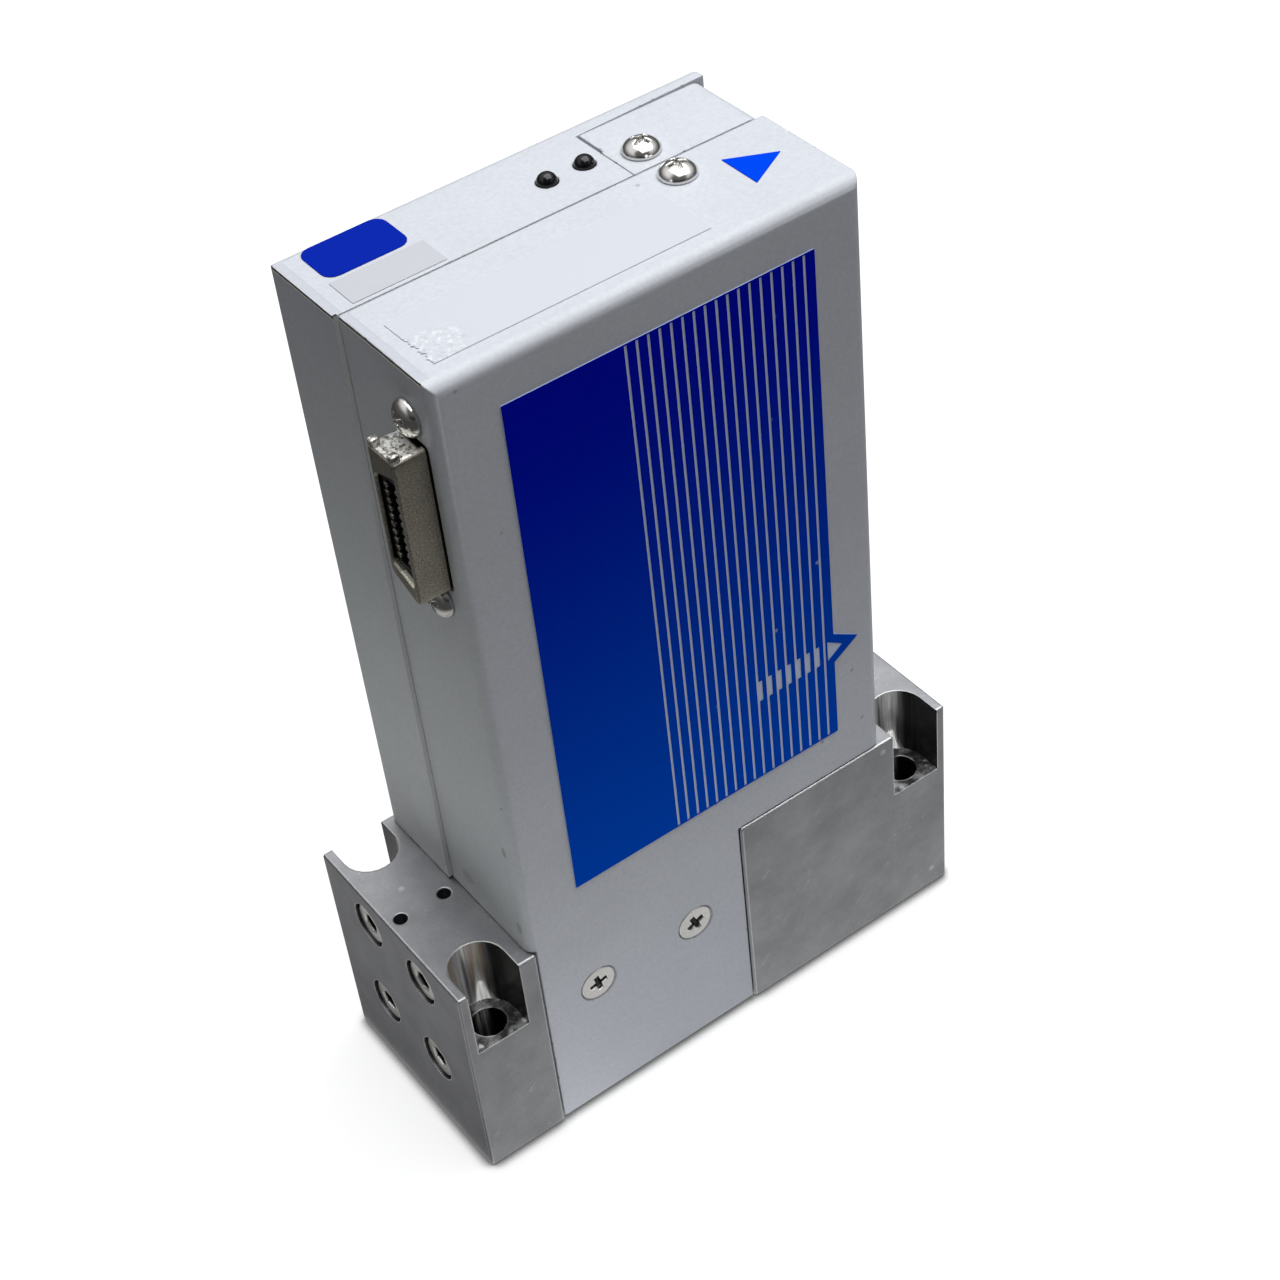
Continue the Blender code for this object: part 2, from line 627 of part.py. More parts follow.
def make_valve_body(steel):
    depth = VALVE_BODY_HALF_DEPTH
    block = box("valve_body", (VALVE_BODY_LEFT, VALVE_BODY_RIGHT), (-depth, depth), (0.0, BLOCK_HEIGHT),
                steel, BLOCK_CHAMFER)
    outlet_x = VALVE_X + VALVE_OUTLET_OFFSET
    cut(block,
        cylinder("chamber", (VALVE_X, 0), "Z", CHAMBER_FLOOR, BLOCK_HEIGHT + OVERCUT, VALVE_BORE),
        cylinder("valve_inlet", (VALVE_X, 0), "Z", GAS_HEIGHT, CHAMBER_FLOOR + OVERCUT, BRANCH_BORE,
                 segments=HIDDEN),
        cylinder("valve_outlet", (outlet_x, 0), "Z", GAS_HEIGHT, CHAMBER_FLOOR + OVERCUT, BRANCH_BORE,
                 segments=COARSE),
        cylinder("inlet_line", (0, GAS_HEIGHT), "X", VALVE_BODY_LEFT - OVERCUT, VALVE_X + BRANCH_BORE,
                 GAS_BORE, segments=HIDDEN),
        cylinder("outlet_line", (0, GAS_HEIGHT), "X", outlet_x - BRANCH_BORE, VALVE_BODY_RIGHT + OVERCUT,
                 GAS_BORE, segments=HIDDEN),
        joint_pocket(VALVE_BODY_LEFT, 1, JOINT_POCKET),
        joint_pocket(VALVE_BODY_RIGHT, -1, JOINT_POCKET),
        sensor_bore(UPSTREAM_SENSOR_X),
        cylinder("tap", (UPSTREAM_SENSOR_X, 0), "Z", GAS_HEIGHT,
                 BLOCK_HEIGHT - SENSOR_BORE_DEPTH + OVERCUT, BRANCH_BORE, segments=HIDDEN))
    hole = TIE_ENGAGEMENT + OVERCUT
    for y, z in tie_places():
        for face, inwards in ((VALVE_BODY_LEFT, 1), (VALVE_BODY_RIGHT, -1)):
            cut(block, cylinder("tapped_hole", (y, z), "X", face - inwards * OVERCUT, face + inwards * hole,
                                TIE_SHANK + 2 * FIT, segments=HIDDEN))
    for side in (-1, 1):
        for x in leg_screw_places():
            cut(block, leg_screw_hole(x, side))
    return block


def sensor_bore(x):
    """The bore that takes the neck of a pressure sensor."""
    return cylinder("sensor_bore", (x, 0), "Z", BLOCK_HEIGHT - SENSOR_BORE_DEPTH, BLOCK_HEIGHT + OVERCUT,
                    SENSOR_BORE)


def leg_screw_places():
    """The two X places of the screws low on each cover."""
    return (LEG_MIDDLE - LEG_SCREW_PITCH / 2, LEG_MIDDLE + LEG_SCREW_PITCH / 2)


def leg_screw_hole(x, side):
    """The countersunk and tapped hole behind a cover screw, wider than the screw all round."""
    wall = COVER_FACE
    profile = [(0.0, -FLAT_SCREW_LENGTH - FIT), (M3_SHANK / 2 + FIT, -FLAT_SCREW_LENGTH - FIT),
               (M3_SHANK / 2 + FIT, -FLAT_HEAD_HEIGHT - FIT / 2), (FLAT_HEAD / 2 + FIT, -FIT / 2),
               (FLAT_HEAD / 2 + FIT, OVERCUT), (0.0, OVERCUT)]
    tool = lathe("countersink", profile, segments=MEDIUM)
    return move(tool, (x, side * wall, LEG_SCREW_HEIGHT), (0, side, 0))


def make_tie_screws(steel):
    """Four screws from each end face, through an end block into the valve body."""
    for prefix, face, inner, side in (("inlet", BODY_LEFT, VALVE_BODY_LEFT, -1),
                                      ("outlet", BODY_RIGHT, VALVE_BODY_RIGHT, 1)):
        seat = face - side * (TIE_SINK + TIE_HEAD_HEIGHT)
        length = abs(seat - inner) + TIE_ENGAGEMENT
        first = socket_screw(f"{prefix}_tie_screw_1", length, steel)
        for index, (y, z) in enumerate(tie_places(), start=1):
            name = f"{prefix}_tie_screw_{index}"
            screw = first if index == 1 else copy_of(first, name)
            move(screw, (seat, y, z), (side, 0, 0), math.radians(7 * index))


def ring(name, outer, inner, thickness, surface, segments=FINE):
    """A flat ring whose lower face is at the origin, with broken edges."""
    edge = min(thickness, outer - inner) / 8
    profile = [(inner / 2, 0.0), (outer / 2 - edge, 0.0), (outer / 2, edge), (outer / 2, thickness - edge),
               (outer / 2 - edge, thickness), (inner / 2, thickness)]
    return lathe(name, profile, surface, segments)


def make_joint_seals(nickel, steel):
    """A ring gasket in each joint between blocks, and the orifice plate behind the outlet one."""
    slack = (2 * JOINT_POCKET + FIT - JOINT_GASKET_THICKNESS) / 2
    for name, face in (("inlet_joint_gasket", INLET_RIGHT - JOINT_POCKET),
                       ("outlet_joint_gasket", VALVE_BODY_RIGHT - JOINT_POCKET)):
        gasket = ring(name, JOINT_GASKET_OUTER, JOINT_GASKET_INNER, JOINT_GASKET_THICKNESS, nickel, COARSE)
        move(gasket, (face + slack, 0, GAS_HEIGHT), (1, 0, 0))
    plate = ring("orifice_plate", JOINT_GASKET_OUTER, ORIFICE_HOLE, ORIFICE_THICKNESS, steel, COARSE)
    move(plate, (OUTLET_LEFT + JOINT_POCKET, 0, GAS_HEIGHT), (1, 0, 0))


# Control valve, turned about the valve axis

def on_valve_axis(made, height):
    return move(made, (VALVE_X, 0, height))


def make_valve(steel, polymer, nickel, ceramic, dark_metal):
    """Seat, diaphragm, bonnet, nut, push rod, spring, actuator case, piezo stack and cap."""
    inside = VALVE_BORE / 2 - FIT
    on_valve_axis(ring("valve_seat", SEAT_OUTER, SEAT_INNER, SEAT_RING_HEIGHT, polymer, COARSE),
                  CHAMBER_FLOOR + FIT)

    flat = inside * 0.62
    film = DIAPHRAGM_THICKNESS
    diaphragm = lathe("valve_diaphragm", [
        (0.0, DIAPHRAGM_DOME), (flat * 0.5, DIAPHRAGM_DOME * 0.75), (flat, 0.0), (inside, 0.0),
        (inside, film), (flat, film), (flat * 0.5, DIAPHRAGM_DOME * 0.75 + film),
        (0.0, DIAPHRAGM_DOME + film)], nickel, MEDIUM)
    on_valve_axis(diaphragm, DIAPHRAGM_BASE)

    neck = BONNET_NECK / 2
    bore = ROD_DIAMETER / 2 + FIT
    recess = flat + FIT
    roof = 2 * DIAPHRAGM_DOME + FIT
    bonnet = lathe("valve_bonnet", [
        (recess, 0.0), (inside, 0.0), (inside, BONNET_FLANGE), (neck, BONNET_FLANGE), (neck, BONNET_HEIGHT),
        (bore, BONNET_HEIGHT), (bore, roof)], steel, MEDIUM)
    on_valve_axis(bonnet, BONNET_BASE)

    thread_base = BLOCK_HEIGHT + FIT - NUT_THREAD_LENGTH
    nut = prism("bonnet_nut", "Z", hexagon((VALVE_X, 0), NUT_ACROSS_FLATS, 30), BLOCK_HEIGHT + FIT,
                NUT_TOP, steel)
    join(nut, cylinder("thread", (VALVE_X, 0), "Z", thread_base, BLOCK_HEIGHT + OVERCUT, 2 * inside))
    cut(nut, cylinder("bore", (VALVE_X, 0), "Z", thread_base - OVERCUT, NUT_TOP + OVERCUT,
                      BONNET_NECK + 2 * FIT))

    collar = CASE_OUTER / 2 - CASE_WALL - FIT
    rod = lathe("valve_push_rod", [
        (0.0, 0.0), (ROD_DIAMETER / 2, ROD_DIAMETER / 8), (ROD_DIAMETER / 2, ROD_LENGTH - ROD_COLLAR),
        (collar, ROD_LENGTH - ROD_COLLAR), (collar, ROD_LENGTH), (0.0, ROD_LENGTH)], steel, MEDIUM)
    on_valve_axis(rod, ROD_BASE)

    spring_inner = ROD_DIAMETER / 2 + FIT
    spring_height = ROD_TOP - ROD_COLLAR - FIT - SPRING_THICKNESS - SPRING_RISE
    spring = lathe("disc_spring", [
        (neck, 0.0), (neck, SPRING_THICKNESS), (spring_inner, SPRING_THICKNESS + SPRING_RISE),
        (spring_inner, SPRING_RISE)], dark_metal, MEDIUM)
    on_valve_axis(spring, spring_height)

    outer = CASE_OUTER / 2
    case_bore = outer - CASE_WALL
    case = lathe("actuator_case", [
        (neck + FIT, 0.0), (outer, 0.0), (outer, CASE_LENGTH), (case_bore, CASE_LENGTH),
        (case_bore, CASE_WALL), (neck + FIT, CASE_WALL)], steel, MEDIUM)
    on_valve_axis(case, CASE_BASE)

    half = STACK_WIDTH / 2
    stack = rounded_rectangle((VALVE_X - half, VALVE_X + half), (-half, half), half / 5, 2)
    prism("piezo_stack", "Z", stack, STACK_BASE, STACK_TOP, ceramic)

    cap_seat = CASE_TOP - CAP_INSET
    plunger = half * math.sqrt(2) + FIT
    cap = lathe("actuator_cap", [
        (0.0, STACK_TOP + FIT), (plunger, STACK_TOP + FIT), (plunger, cap_seat),
        (case_bore - FIT, cap_seat), (case_bore - FIT, CASE_TOP + FIT), (outer, CASE_TOP + FIT),
        (outer, CASE_TOP + CAP_LENGTH), (0.0, CASE_TOP + CAP_LENGTH)], dark_metal, MEDIUM)
    on_valve_axis(cap, 0.0)


# Pressure sensors

def make_pressure_sensors(steel, nickel):
    """A hexagon with a neck below and a sealed can above, and its ring gasket in the bore."""
    floor = BLOCK_HEIGHT - SENSOR_BORE_DEPTH
    gasket_base = floor + FIT
    neck_base = gasket_base + SENSOR_GASKET_THICKNESS + FIT
    hex_base = BLOCK_HEIGHT + FIT
    can_base = hex_base + SENSOR_HEX_HEIGHT
    neck = SENSOR_BORE - 2 * FIT
    for prefix, x in (("upstream", UPSTREAM_SENSOR_X), ("downstream", DOWNSTREAM_SENSOR_X)):
        gasket = ring(f"{prefix}_sensor_gasket", neck, neck / 2, SENSOR_GASKET_THICKNESS, nickel, COARSE)
        move(gasket, (x, 0, gasket_base))
        sensor = prism(f"{prefix}_pressure_sensor", "Z", hexagon((x, 0), SENSOR_HEX, 30), hex_base,
                       can_base, steel)
        top = can_base + SENSOR_CAN_HEIGHT
        join(sensor,
             cylinder("neck", (x, 0), "Z", neck_base, hex_base + OVERCUT, neck),
             cylinder("can", (x, 0), "Z", can_base - OVERCUT, top, SENSOR_CAN))
        for turn in (45, 135, 225, 315):
            pin = (x + SENSOR_PIN_CIRCLE / 2 * math.cos(math.radians(turn)),
                   SENSOR_PIN_CIRCLE / 2 * math.sin(math.radians(turn)))
            join(sensor, cylinder("pin", pin, "Z", top - OVERCUT, top + SENSOR_PIN_LENGTH, SENSOR_PIN,
                                  segments=6))
        cut(sensor, cylinder("gas_bore", (x, 0), "Z", neck_base - OVERCUT, hex_base + SENSOR_HEX_HEIGHT,
                             BRANCH_BORE, segments=HIDDEN))


# Folded covers

def cover_plan(half_length, face, seam, radius, side):
    """A cover seen from above: a U with round bends, open at the seam."""
    bend = (half_length - radius, face - radius)
    outline = [(half_length, seam)] + arc(bend, radius, 0, 90, 5)
    outline += arc((-bend[0], bend[1]), radius, 90, 180, 5) + [(-half_length, seam)]
    return [(x, side * depth) for x, depth in outline]


def cover_section(face, seam, bottom, top, radius, side):
    """A cover seen from its end: an upright wall that bends into the top."""
    outline = [(seam, bottom), (face, bottom)] + arc((face - radius, top - radius), radius, 0, 90, 5)
    outline += [(seam, top)]
    return [(side * depth, z) for depth, z in outline]


def folded_cover(name, half_length, seam, side, paint):
    """One folded sheet: a broad wall with a leg down to the foot, two side flanges and a top flange."""
    def solid(inset, past):
        plan = cover_plan(half_length - inset, COVER_FACE - inset, seam - past, BEND - inset, side)
        section = cover_section(COVER_FACE - inset, seam - past - OVERCUT, COVER_BOTTOM - past - OVERCUT,
                                COVER_TOP - inset, TOP_BEND - inset, side)
        made = prism("solid", "Z", plan, COVER_BOTTOM - past, COVER_TOP + OVERCUT)
        tool = prism("section", "X", section, -half_length - OVERCUT, half_length + OVERCUT)
        return combine(made, tool, "INTERSECT")

    cover = rename(solid(0.0, 0.0), name)
    cover.data.materials.append(paint)
    cut(cover, solid(SHEET, 2 * OVERCUT))
    reach = half_length + OVERCUT
    depth = (-BLOCK_DEPTH, BLOCK_DEPTH)
    low = (-OVERCUT, COVER_EDGE)
    cut(cover, box("left_of_leg", (-reach, VALVE_BODY_LEFT), depth, low),
        box("right_of_leg", (VALVE_BODY_RIGHT, reach), depth, low))
    for x in leg_screw_places():
        cut(cover, leg_screw_hole(x, side))
    return cover


def top_hole(x, y, diameter, segments=MEDIUM):
    """A hole straight down through the top sheet."""
    return cylinder("hole", (x, y), "Z", COVER_TOP - SHEET - OVERCUT, COVER_TOP + OVERCUT, diameter,
                    segments=segments)


def make_covers(paint):
    """The front and rear covers, which meet at the seam, and the access plate in the rear one."""
    front = folded_cover("front_cover", COVER_RIGHT, -SEAM_Y + FIT / 2, -1, paint)
    half_opening = SHELL_WIDTH / 2 + FIT
    half_height = SHELL_HEIGHT / 2 + FIT
    opening = rounded_rectangle((CONNECTOR_Y - half_opening, CONNECTOR_Y + half_opening),
                                (CONNECTOR_Z - half_height, CONNECTOR_Z + half_height), SHELL_CORNER, 2)
    cut(front, prism("connector_opening", "X", opening, COVER_LEFT - OVERCUT, COVER_LEFT + SHEET + OVERCUT))
    for side in (-1, 1):
        z = CONNECTOR_Z + side * CONNECTOR_SCREW_PITCH / 2
        cut(front, cylinder("hole", (CONNECTOR_Y, z), "X", COVER_LEFT - OVERCUT,
                            COVER_LEFT + SHEET + OVERCUT, M3_SHANK + 2 * FIT, segments=COARSE))
    cut(front, top_hole(TOP_SCREW_X, TOP_SCREW_Y[1], M3_SHANK + 2 * FIT))

    rear_half = REAR_COVER_RIGHT
    rear = folded_cover("rear_cover", rear_half, SEAM_Y + FIT / 2, 1, paint)
    notch_rear = PLATE_REAR + FIT / 2
    past = rear_half + OVERCUT
    notch = [(PLATE_LEFT, 0.0), (past, 0.0), (past, notch_rear + NOTCH_TAPER), (PLATE_LEFT, notch_rear)]
    cut(rear, prism("notch", "Z", notch, COVER_TOP - PLATE_LIP - FIT, COVER_TOP + OVERCUT))
    for x in LAMP_X:
        cut(rear, top_hole(x, LAMP_Y, LAMP_DIAMETER + FIT))

    edge = PLATE_LEFT + FIT / 2
    bend = (COVER_RIGHT - TOP_BEND, COVER_TOP - TOP_BEND)
    outline = [(edge, COVER_TOP)] + arc(bend, TOP_BEND, 90, 0, 5)
    outline += [(COVER_RIGHT, COVER_TOP - PLATE_LIP), (COVER_RIGHT - SHEET, COVER_TOP - PLATE_LIP)]
    outline += arc(bend, TOP_BEND - SHEET, 0, 90, 5) + [(edge, COVER_TOP - SHEET)]
    plate = prism("access_plate", "Y", outline, SEAM_Y + FIT / 2, PLATE_REAR, paint)
    cut(plate, box("jog", (edge - OVERCUT, edge + PLATE_JOG),
                   (PLATE_REAR - PLATE_JOG_LENGTH, PLATE_REAR + OVERCUT),
                   (COVER_TOP - SHEET - OVERCUT, COVER_TOP + OVERCUT)),
        top_hole(TOP_SCREW_X, TOP_SCREW_Y[0], M3_SHANK + 2 * FIT))


def make_cover_screws(bright):
    """Two pan heads on the top and two countersunk screws low on each cover."""
    first = pan_screw("top_screw_1", PAN_HEAD, PAN_HEAD_HEIGHT, PAN_RIM, M3_SHANK, TOP_SCREW_LENGTH, bright)
    move(first, (TOP_SCREW_X, TOP_SCREW_Y[0], COVER_TOP + FIT / 2), roll=math.radians(20))
    second = copy_of(first, "top_screw_2")
    move(second, (TOP_SCREW_X, TOP_SCREW_Y[1], COVER_TOP + FIT / 2), roll=math.radians(55))

    first = flat_screw("front_cover_screw_1", FLAT_HEAD, FLAT_HEAD_HEIGHT, M3_SHANK, FLAT_SCREW_LENGTH,
                       bright)
    for prefix, side in (("front", -1), ("rear", 1)):
        for index, x in enumerate(leg_screw_places(), start=1):
            name = f"{prefix}_cover_screw_{index}"
            screw = first if name == first.name else copy_of(first, name)
            roll = math.radians(12 * index * side)
            move(screw, (x, side * COVER_FACE, LEG_SCREW_HEIGHT), (0, side, 0), roll)


# Indicator lamps

def make_lamps(dark_glass):
    """Two domed lamps on bent leads that reach the main board."""
    top = COVER_TOP + LAMP_RISE
    base = top - LAMP_BODY_HEIGHT
    radius = LAMP_DIAMETER / 2
    for index, x in enumerate(LAMP_X, start=1):
        dome = [(radius * math.cos(math.radians(a)),
                 LAMP_BODY_HEIGHT - radius * (1 - math.sin(math.radians(a))))
                for a in (0, 22, 45, 68)]
        lamp = lathe(f"lamp_{index}", [(0.0, 0.0), (LAMP_FLANGE / 2, 0.0), (LAMP_FLANGE / 2, radius / 2),
                                       (radius, radius / 2), *dome, (0.0, LAMP_BODY_HEIGHT)],
                     dark_glass, MEDIUM)
        lamp.data.transform(Matrix.Translation((x, LAMP_Y, base)))
        for side in (-1, 1):
            lead_x = x + side * LEAD_PITCH / 2
            span = (lead_x - LEAD_THICKNESS / 2, lead_x + LEAD_THICKNESS / 2)
            low = base - LEAD_DROP
            outline = [(LAMP_Y - LEAD_THICKNESS / 2, base + LEAD_THICKNESS),
                       (LAMP_Y - LEAD_THICKNESS / 2, low),
                       (BOARD_FRONT - FIT, low), (BOARD_FRONT - FIT, low + LEAD_THICKNESS),
                       (LAMP_Y + LEAD_THICKNESS / 2, low + LEAD_THICKNESS),
                       (LAMP_Y + LEAD_THICKNESS / 2, base + LEAD_THICKNESS)]
            join(lamp, prism("lead", "X", outline, *span))


# Connector

def socket_outline(clearance=0.0):
    """The D shape of the socket, longer on the side towards the front of the product."""
    half = SOCKET_WIDTH / 2 - clearance
    long_half = SOCKET_LONG / 2 - clearance
    short_half = SOCKET_SHORT / 2 - clearance
    y, z = CONNECTOR_Y, CONNECTOR_Z
    return [(y - half, z - long_half), (y + half, z - short_half), (y + half, z + short_half),
            (y - half, z + long_half)]


def make_connector(die_cast, black, board, bright):
    """The die-cast shell through the cover, its insulator with contacts, two screws and a small board."""
    mouth = COVER_LEFT - SHELL_PROUD
    wall_inside = COVER_LEFT + SHEET
    flange_face = wall_inside + FIT
    flange_back = flange_face + SHELL_FLANGE_THICKNESS
    half_width = SHELL_WIDTH / 2
    half_height = SHELL_HEIGHT / 2
    body = rounded_rectangle((CONNECTOR_Y - half_width, CONNECTOR_Y + half_width),
                             (CONNECTOR_Z - half_height, CONNECTOR_Z + half_height), SHELL_CORNER, 2)
    shell = prism("connector_shell", "X", body, mouth, flange_back, die_cast)
    flange_half = (CONNECTOR_SCREW_PITCH + SCREW_BOSS) / 2
    flange_width = SHELL_FLANGE_WIDTH / 2
    flange = rounded_rectangle((CONNECTOR_Y - flange_width + FIT, CONNECTOR_Y + flange_width),
                               (CONNECTOR_Z - flange_half, CONNECTOR_Z + flange_half), SHELL_CORNER, 2)
    join(shell, prism("flange", "X", flange, flange_face, flange_back))
    cut(shell, prism("socket", "X", socket_outline(), mouth - OVERCUT, flange_back + OVERCUT))
    for side in (-1, 1):
        z = CONNECTOR_Z + side * CONNECTOR_SCREW_PITCH / 2
        cut(shell, cylinder("tapped_hole", (CONNECTOR_Y, z), "X", flange_face - OVERCUT,
                            flange_back + OVERCUT, M3_SHANK + 2 * FIT, segments=COARSE))

    face = mouth + SOCKET_DEPTH
    insulator = prism("connector_insulator", "X", socket_outline(FIT), face, flange_back, black)
    y_slot = (CONNECTOR_Y - SLOT_WIDTH / 2, CONNECTOR_Y + SLOT_WIDTH / 2)
    z_slot = (CONNECTOR_Z - SLOT_LENGTH / 2, CONNECTOR_Z + SLOT_LENGTH / 2)
    cut(insulator, box("slot", (face - OVERCUT, face + SLOT_DEPTH), y_slot, z_slot))
    for row in (-1, 1):
        for index in range(CONTACTS_PER_ROW):
            z = CONNECTOR_Z + (index - (CONTACTS_PER_ROW - 1) / 2) * CONTACT_PITCH
            wall = CONNECTOR_Y + row * SLOT_WIDTH / 2
            y = sorted((wall - row * CONTACT_PROUD, wall + row * CONTACT_PROUD))
            join(insulator, box("contact", (face - CONTACT_PROUD, face + SLOT_DEPTH + CONTACT_PROUD), y,
                                (z - CONTACT_WIDTH / 2, z + CONTACT_WIDTH / 2)))

    first = pan_screw("connector_screw_1", PAN_HEAD, PAN_HEAD_HEIGHT, PAN_RIM, M3_SHANK,
                      CONNECTOR_SCREW_LENGTH,
                      bright)
    for screw, side in ((first, 1), (copy_of(first, "connector_screw_2"), -1)):
        z = CONNECTOR_Z + side * CONNECTOR_SCREW_PITCH / 2
        move(screw, (COVER_LEFT - FIT / 2, CONNECTOR_Y, z), (-1, 0, 0), math.radians(30))

    board_face = flange_back + FIT
    half_board = CONNECTOR_BOARD_WIDTH / 2
    y_board = (CONNECTOR_Y - half_board + 4 * FIT, CONNECTOR_Y + half_board)
    z_board = (CONNECTOR_Z - CONNECTOR_BOARD_HEIGHT / 2, CONNECTOR_Z + CONNECTOR_BOARD_HEIGHT / 2)
    plate = box("connector_board", (board_face, board_face + BOARD_THICKNESS), y_board, z_board, board)
    for side in (-1, 1):
        z = CONNECTOR_Z + side * CONNECTOR_SCREW_PITCH / 2
        cut(plate, cylinder("hole", (CONNECTOR_Y, z), "X", board_face - OVERCUT,
                            board_face + BOARD_THICKNESS + OVERCUT, M3_SHANK + 2 * FIT, segments=COARSE))


# Chassis and main board

def board_screw_places():
    """Opposite corners of the main board, as X and Z."""
    return ((BOARD_LEFT + BOARD_HOLE_INSET, BOARD_TOP - BOARD_HOLE_INSET),
            (BOARD_RIGHT - BOARD_HOLE_INSET, BOARD_BOTTOM + BOARD_HOLE_INSET))


def make_chassis(plated, bright):
    """A folded frame on the outlet block: back web, side web, foot and the tab under the top screws."""
    sheet = CHASSIS_SHEET
    back = (CHASSIS_BACK - sheet, CHASSIS_BACK)
    right = (CHASSIS_SIDE - sheet, CHASSIS_SIDE)
    foot_bottom = BLOCK_HEIGHT + FIT
    frame = box("chassis_frame", (CHASSIS_WEB_LEFT, CHASSIS_SIDE), back, (CHASSIS_BOTTOM, CHASSIS_TOP),
                plated)
    join(frame,
         box("side", right, (CHASSIS_SIDE_FRONT, CHASSIS_BACK), (foot_bottom, CHASSIS_TOP)),
         *(box("foot", (CHASSIS_SIDE - FOOT_LENGTH, CHASSIS_SIDE),
               (side * FOOT_SCREW_Y - FOOT_WIDTH / 2, side * FOOT_SCREW_Y + FOOT_WIDTH / 2),
               (foot_bottom, foot_bottom + sheet)) for side in (-1, 1)),
         box("tab", (CHASSIS_SIDE - CHASSIS_TAB_LENGTH, CHASSIS_SIDE),
             (TOP_SCREW_Y[1] - CHASSIS_TAB_MARGIN, CHASSIS_BACK),
             (CHASSIS_TOP - sheet, CHASSIS_TOP)))
    for y in TOP_SCREW_Y:
        cut(frame, cylinder("tapped_hole", (TOP_SCREW_X, y), "Z", CHASSIS_TOP - sheet - OVERCUT,
                            CHASSIS_TOP + OVERCUT, M3_SHANK + 2 * FIT, segments=COARSE))
    for x, z in board_screw_places():
        cut(frame, cylinder("hole", (x, z), "Y", back[0] - OVERCUT, back[1] + OVERCUT, M2_5_SHANK + 2 * FIT,
                            segments=COARSE))
    for y in (-FOOT_SCREW_Y, FOOT_SCREW_Y):
        cut(frame, cylinder("hole", (FOOT_SCREW_X, y), "Z", foot_bottom - OVERCUT,
                            foot_bottom + sheet + OVERCUT, M3_SHANK + 2 * FIT, segments=COARSE))
    first = pan_screw("chassis_screw_1", PAN_HEAD * 0.9, PAN_HEAD_HEIGHT, PAN_RIM, M3_SHANK,
                      FOOT_SCREW_LENGTH,
                      bright, MEDIUM)
    for screw, side in ((first, -1), (copy_of(first, "chassis_screw_2"), 1)):
        move(screw, (FOOT_SCREW_X, side * FOOT_SCREW_Y, foot_bottom + sheet + FIT))


def make_main_board(board, plated, bright):
    """The main board with its chips and header, on two standoffs from the chassis."""
    plate = box("main_board", (BOARD_LEFT, BOARD_RIGHT), (BOARD_FRONT, BOARD_BACK),
                (BOARD_BOTTOM, BOARD_TOP), board)
    middle = (BOARD_LEFT + BOARD_RIGHT) / 2
    for row, (x_shift, length, width) in enumerate(CHIPS):
        x = middle + x_shift
        z = BOARD_BOTTOM + CHIP_RAISE + row * CHIP_PITCH
        join(plate, box("chip", (x - length / 2, x + length / 2),
                        (BOARD_FRONT - CHIP_HEIGHT, BOARD_FRONT + BOARD_THICKNESS / 2),
                        (z - width / 2, z + width / 2)))
    for x, z in board_screw_places():
        cut(plate, cylinder("hole", (x, z), "Y", BOARD_FRONT - OVERCUT, BOARD_BACK + OVERCUT,
                            M2_5_SHANK + 2 * FIT, segments=COARSE))
    first = pan_screw("board_screw_1", SMALL_HEAD, SMALL_HEAD_HEIGHT, PAN_RIM, M2_5_SHANK,
                      BOARD_SCREW_LENGTH,
                      bright, MEDIUM)
    screws = (first, copy_of(first, "board_screw_2"))
    for index, ((x, z), screw) in enumerate(zip(board_screw_places(), screws), start=1):
        move(screw, (x, BOARD_FRONT - FIT, z), (0, -1, 0))
        standoff = prism(f"board_standoff_{index}", "Y", hexagon((x, z), BOARD_STANDOFF_DIAMETER),
                         BOARD_BACK + FIT, CHASSIS_BACK - CHASSIS_SHEET - FIT, plated)
        cut(standoff, cylinder("bore", (x, z), "Y", BOARD_BACK - OVERCUT, CHASSIS_BACK,
                               M2_5_SHANK + 2 * FIT,
                               segments=COARSE))


# Print and labels

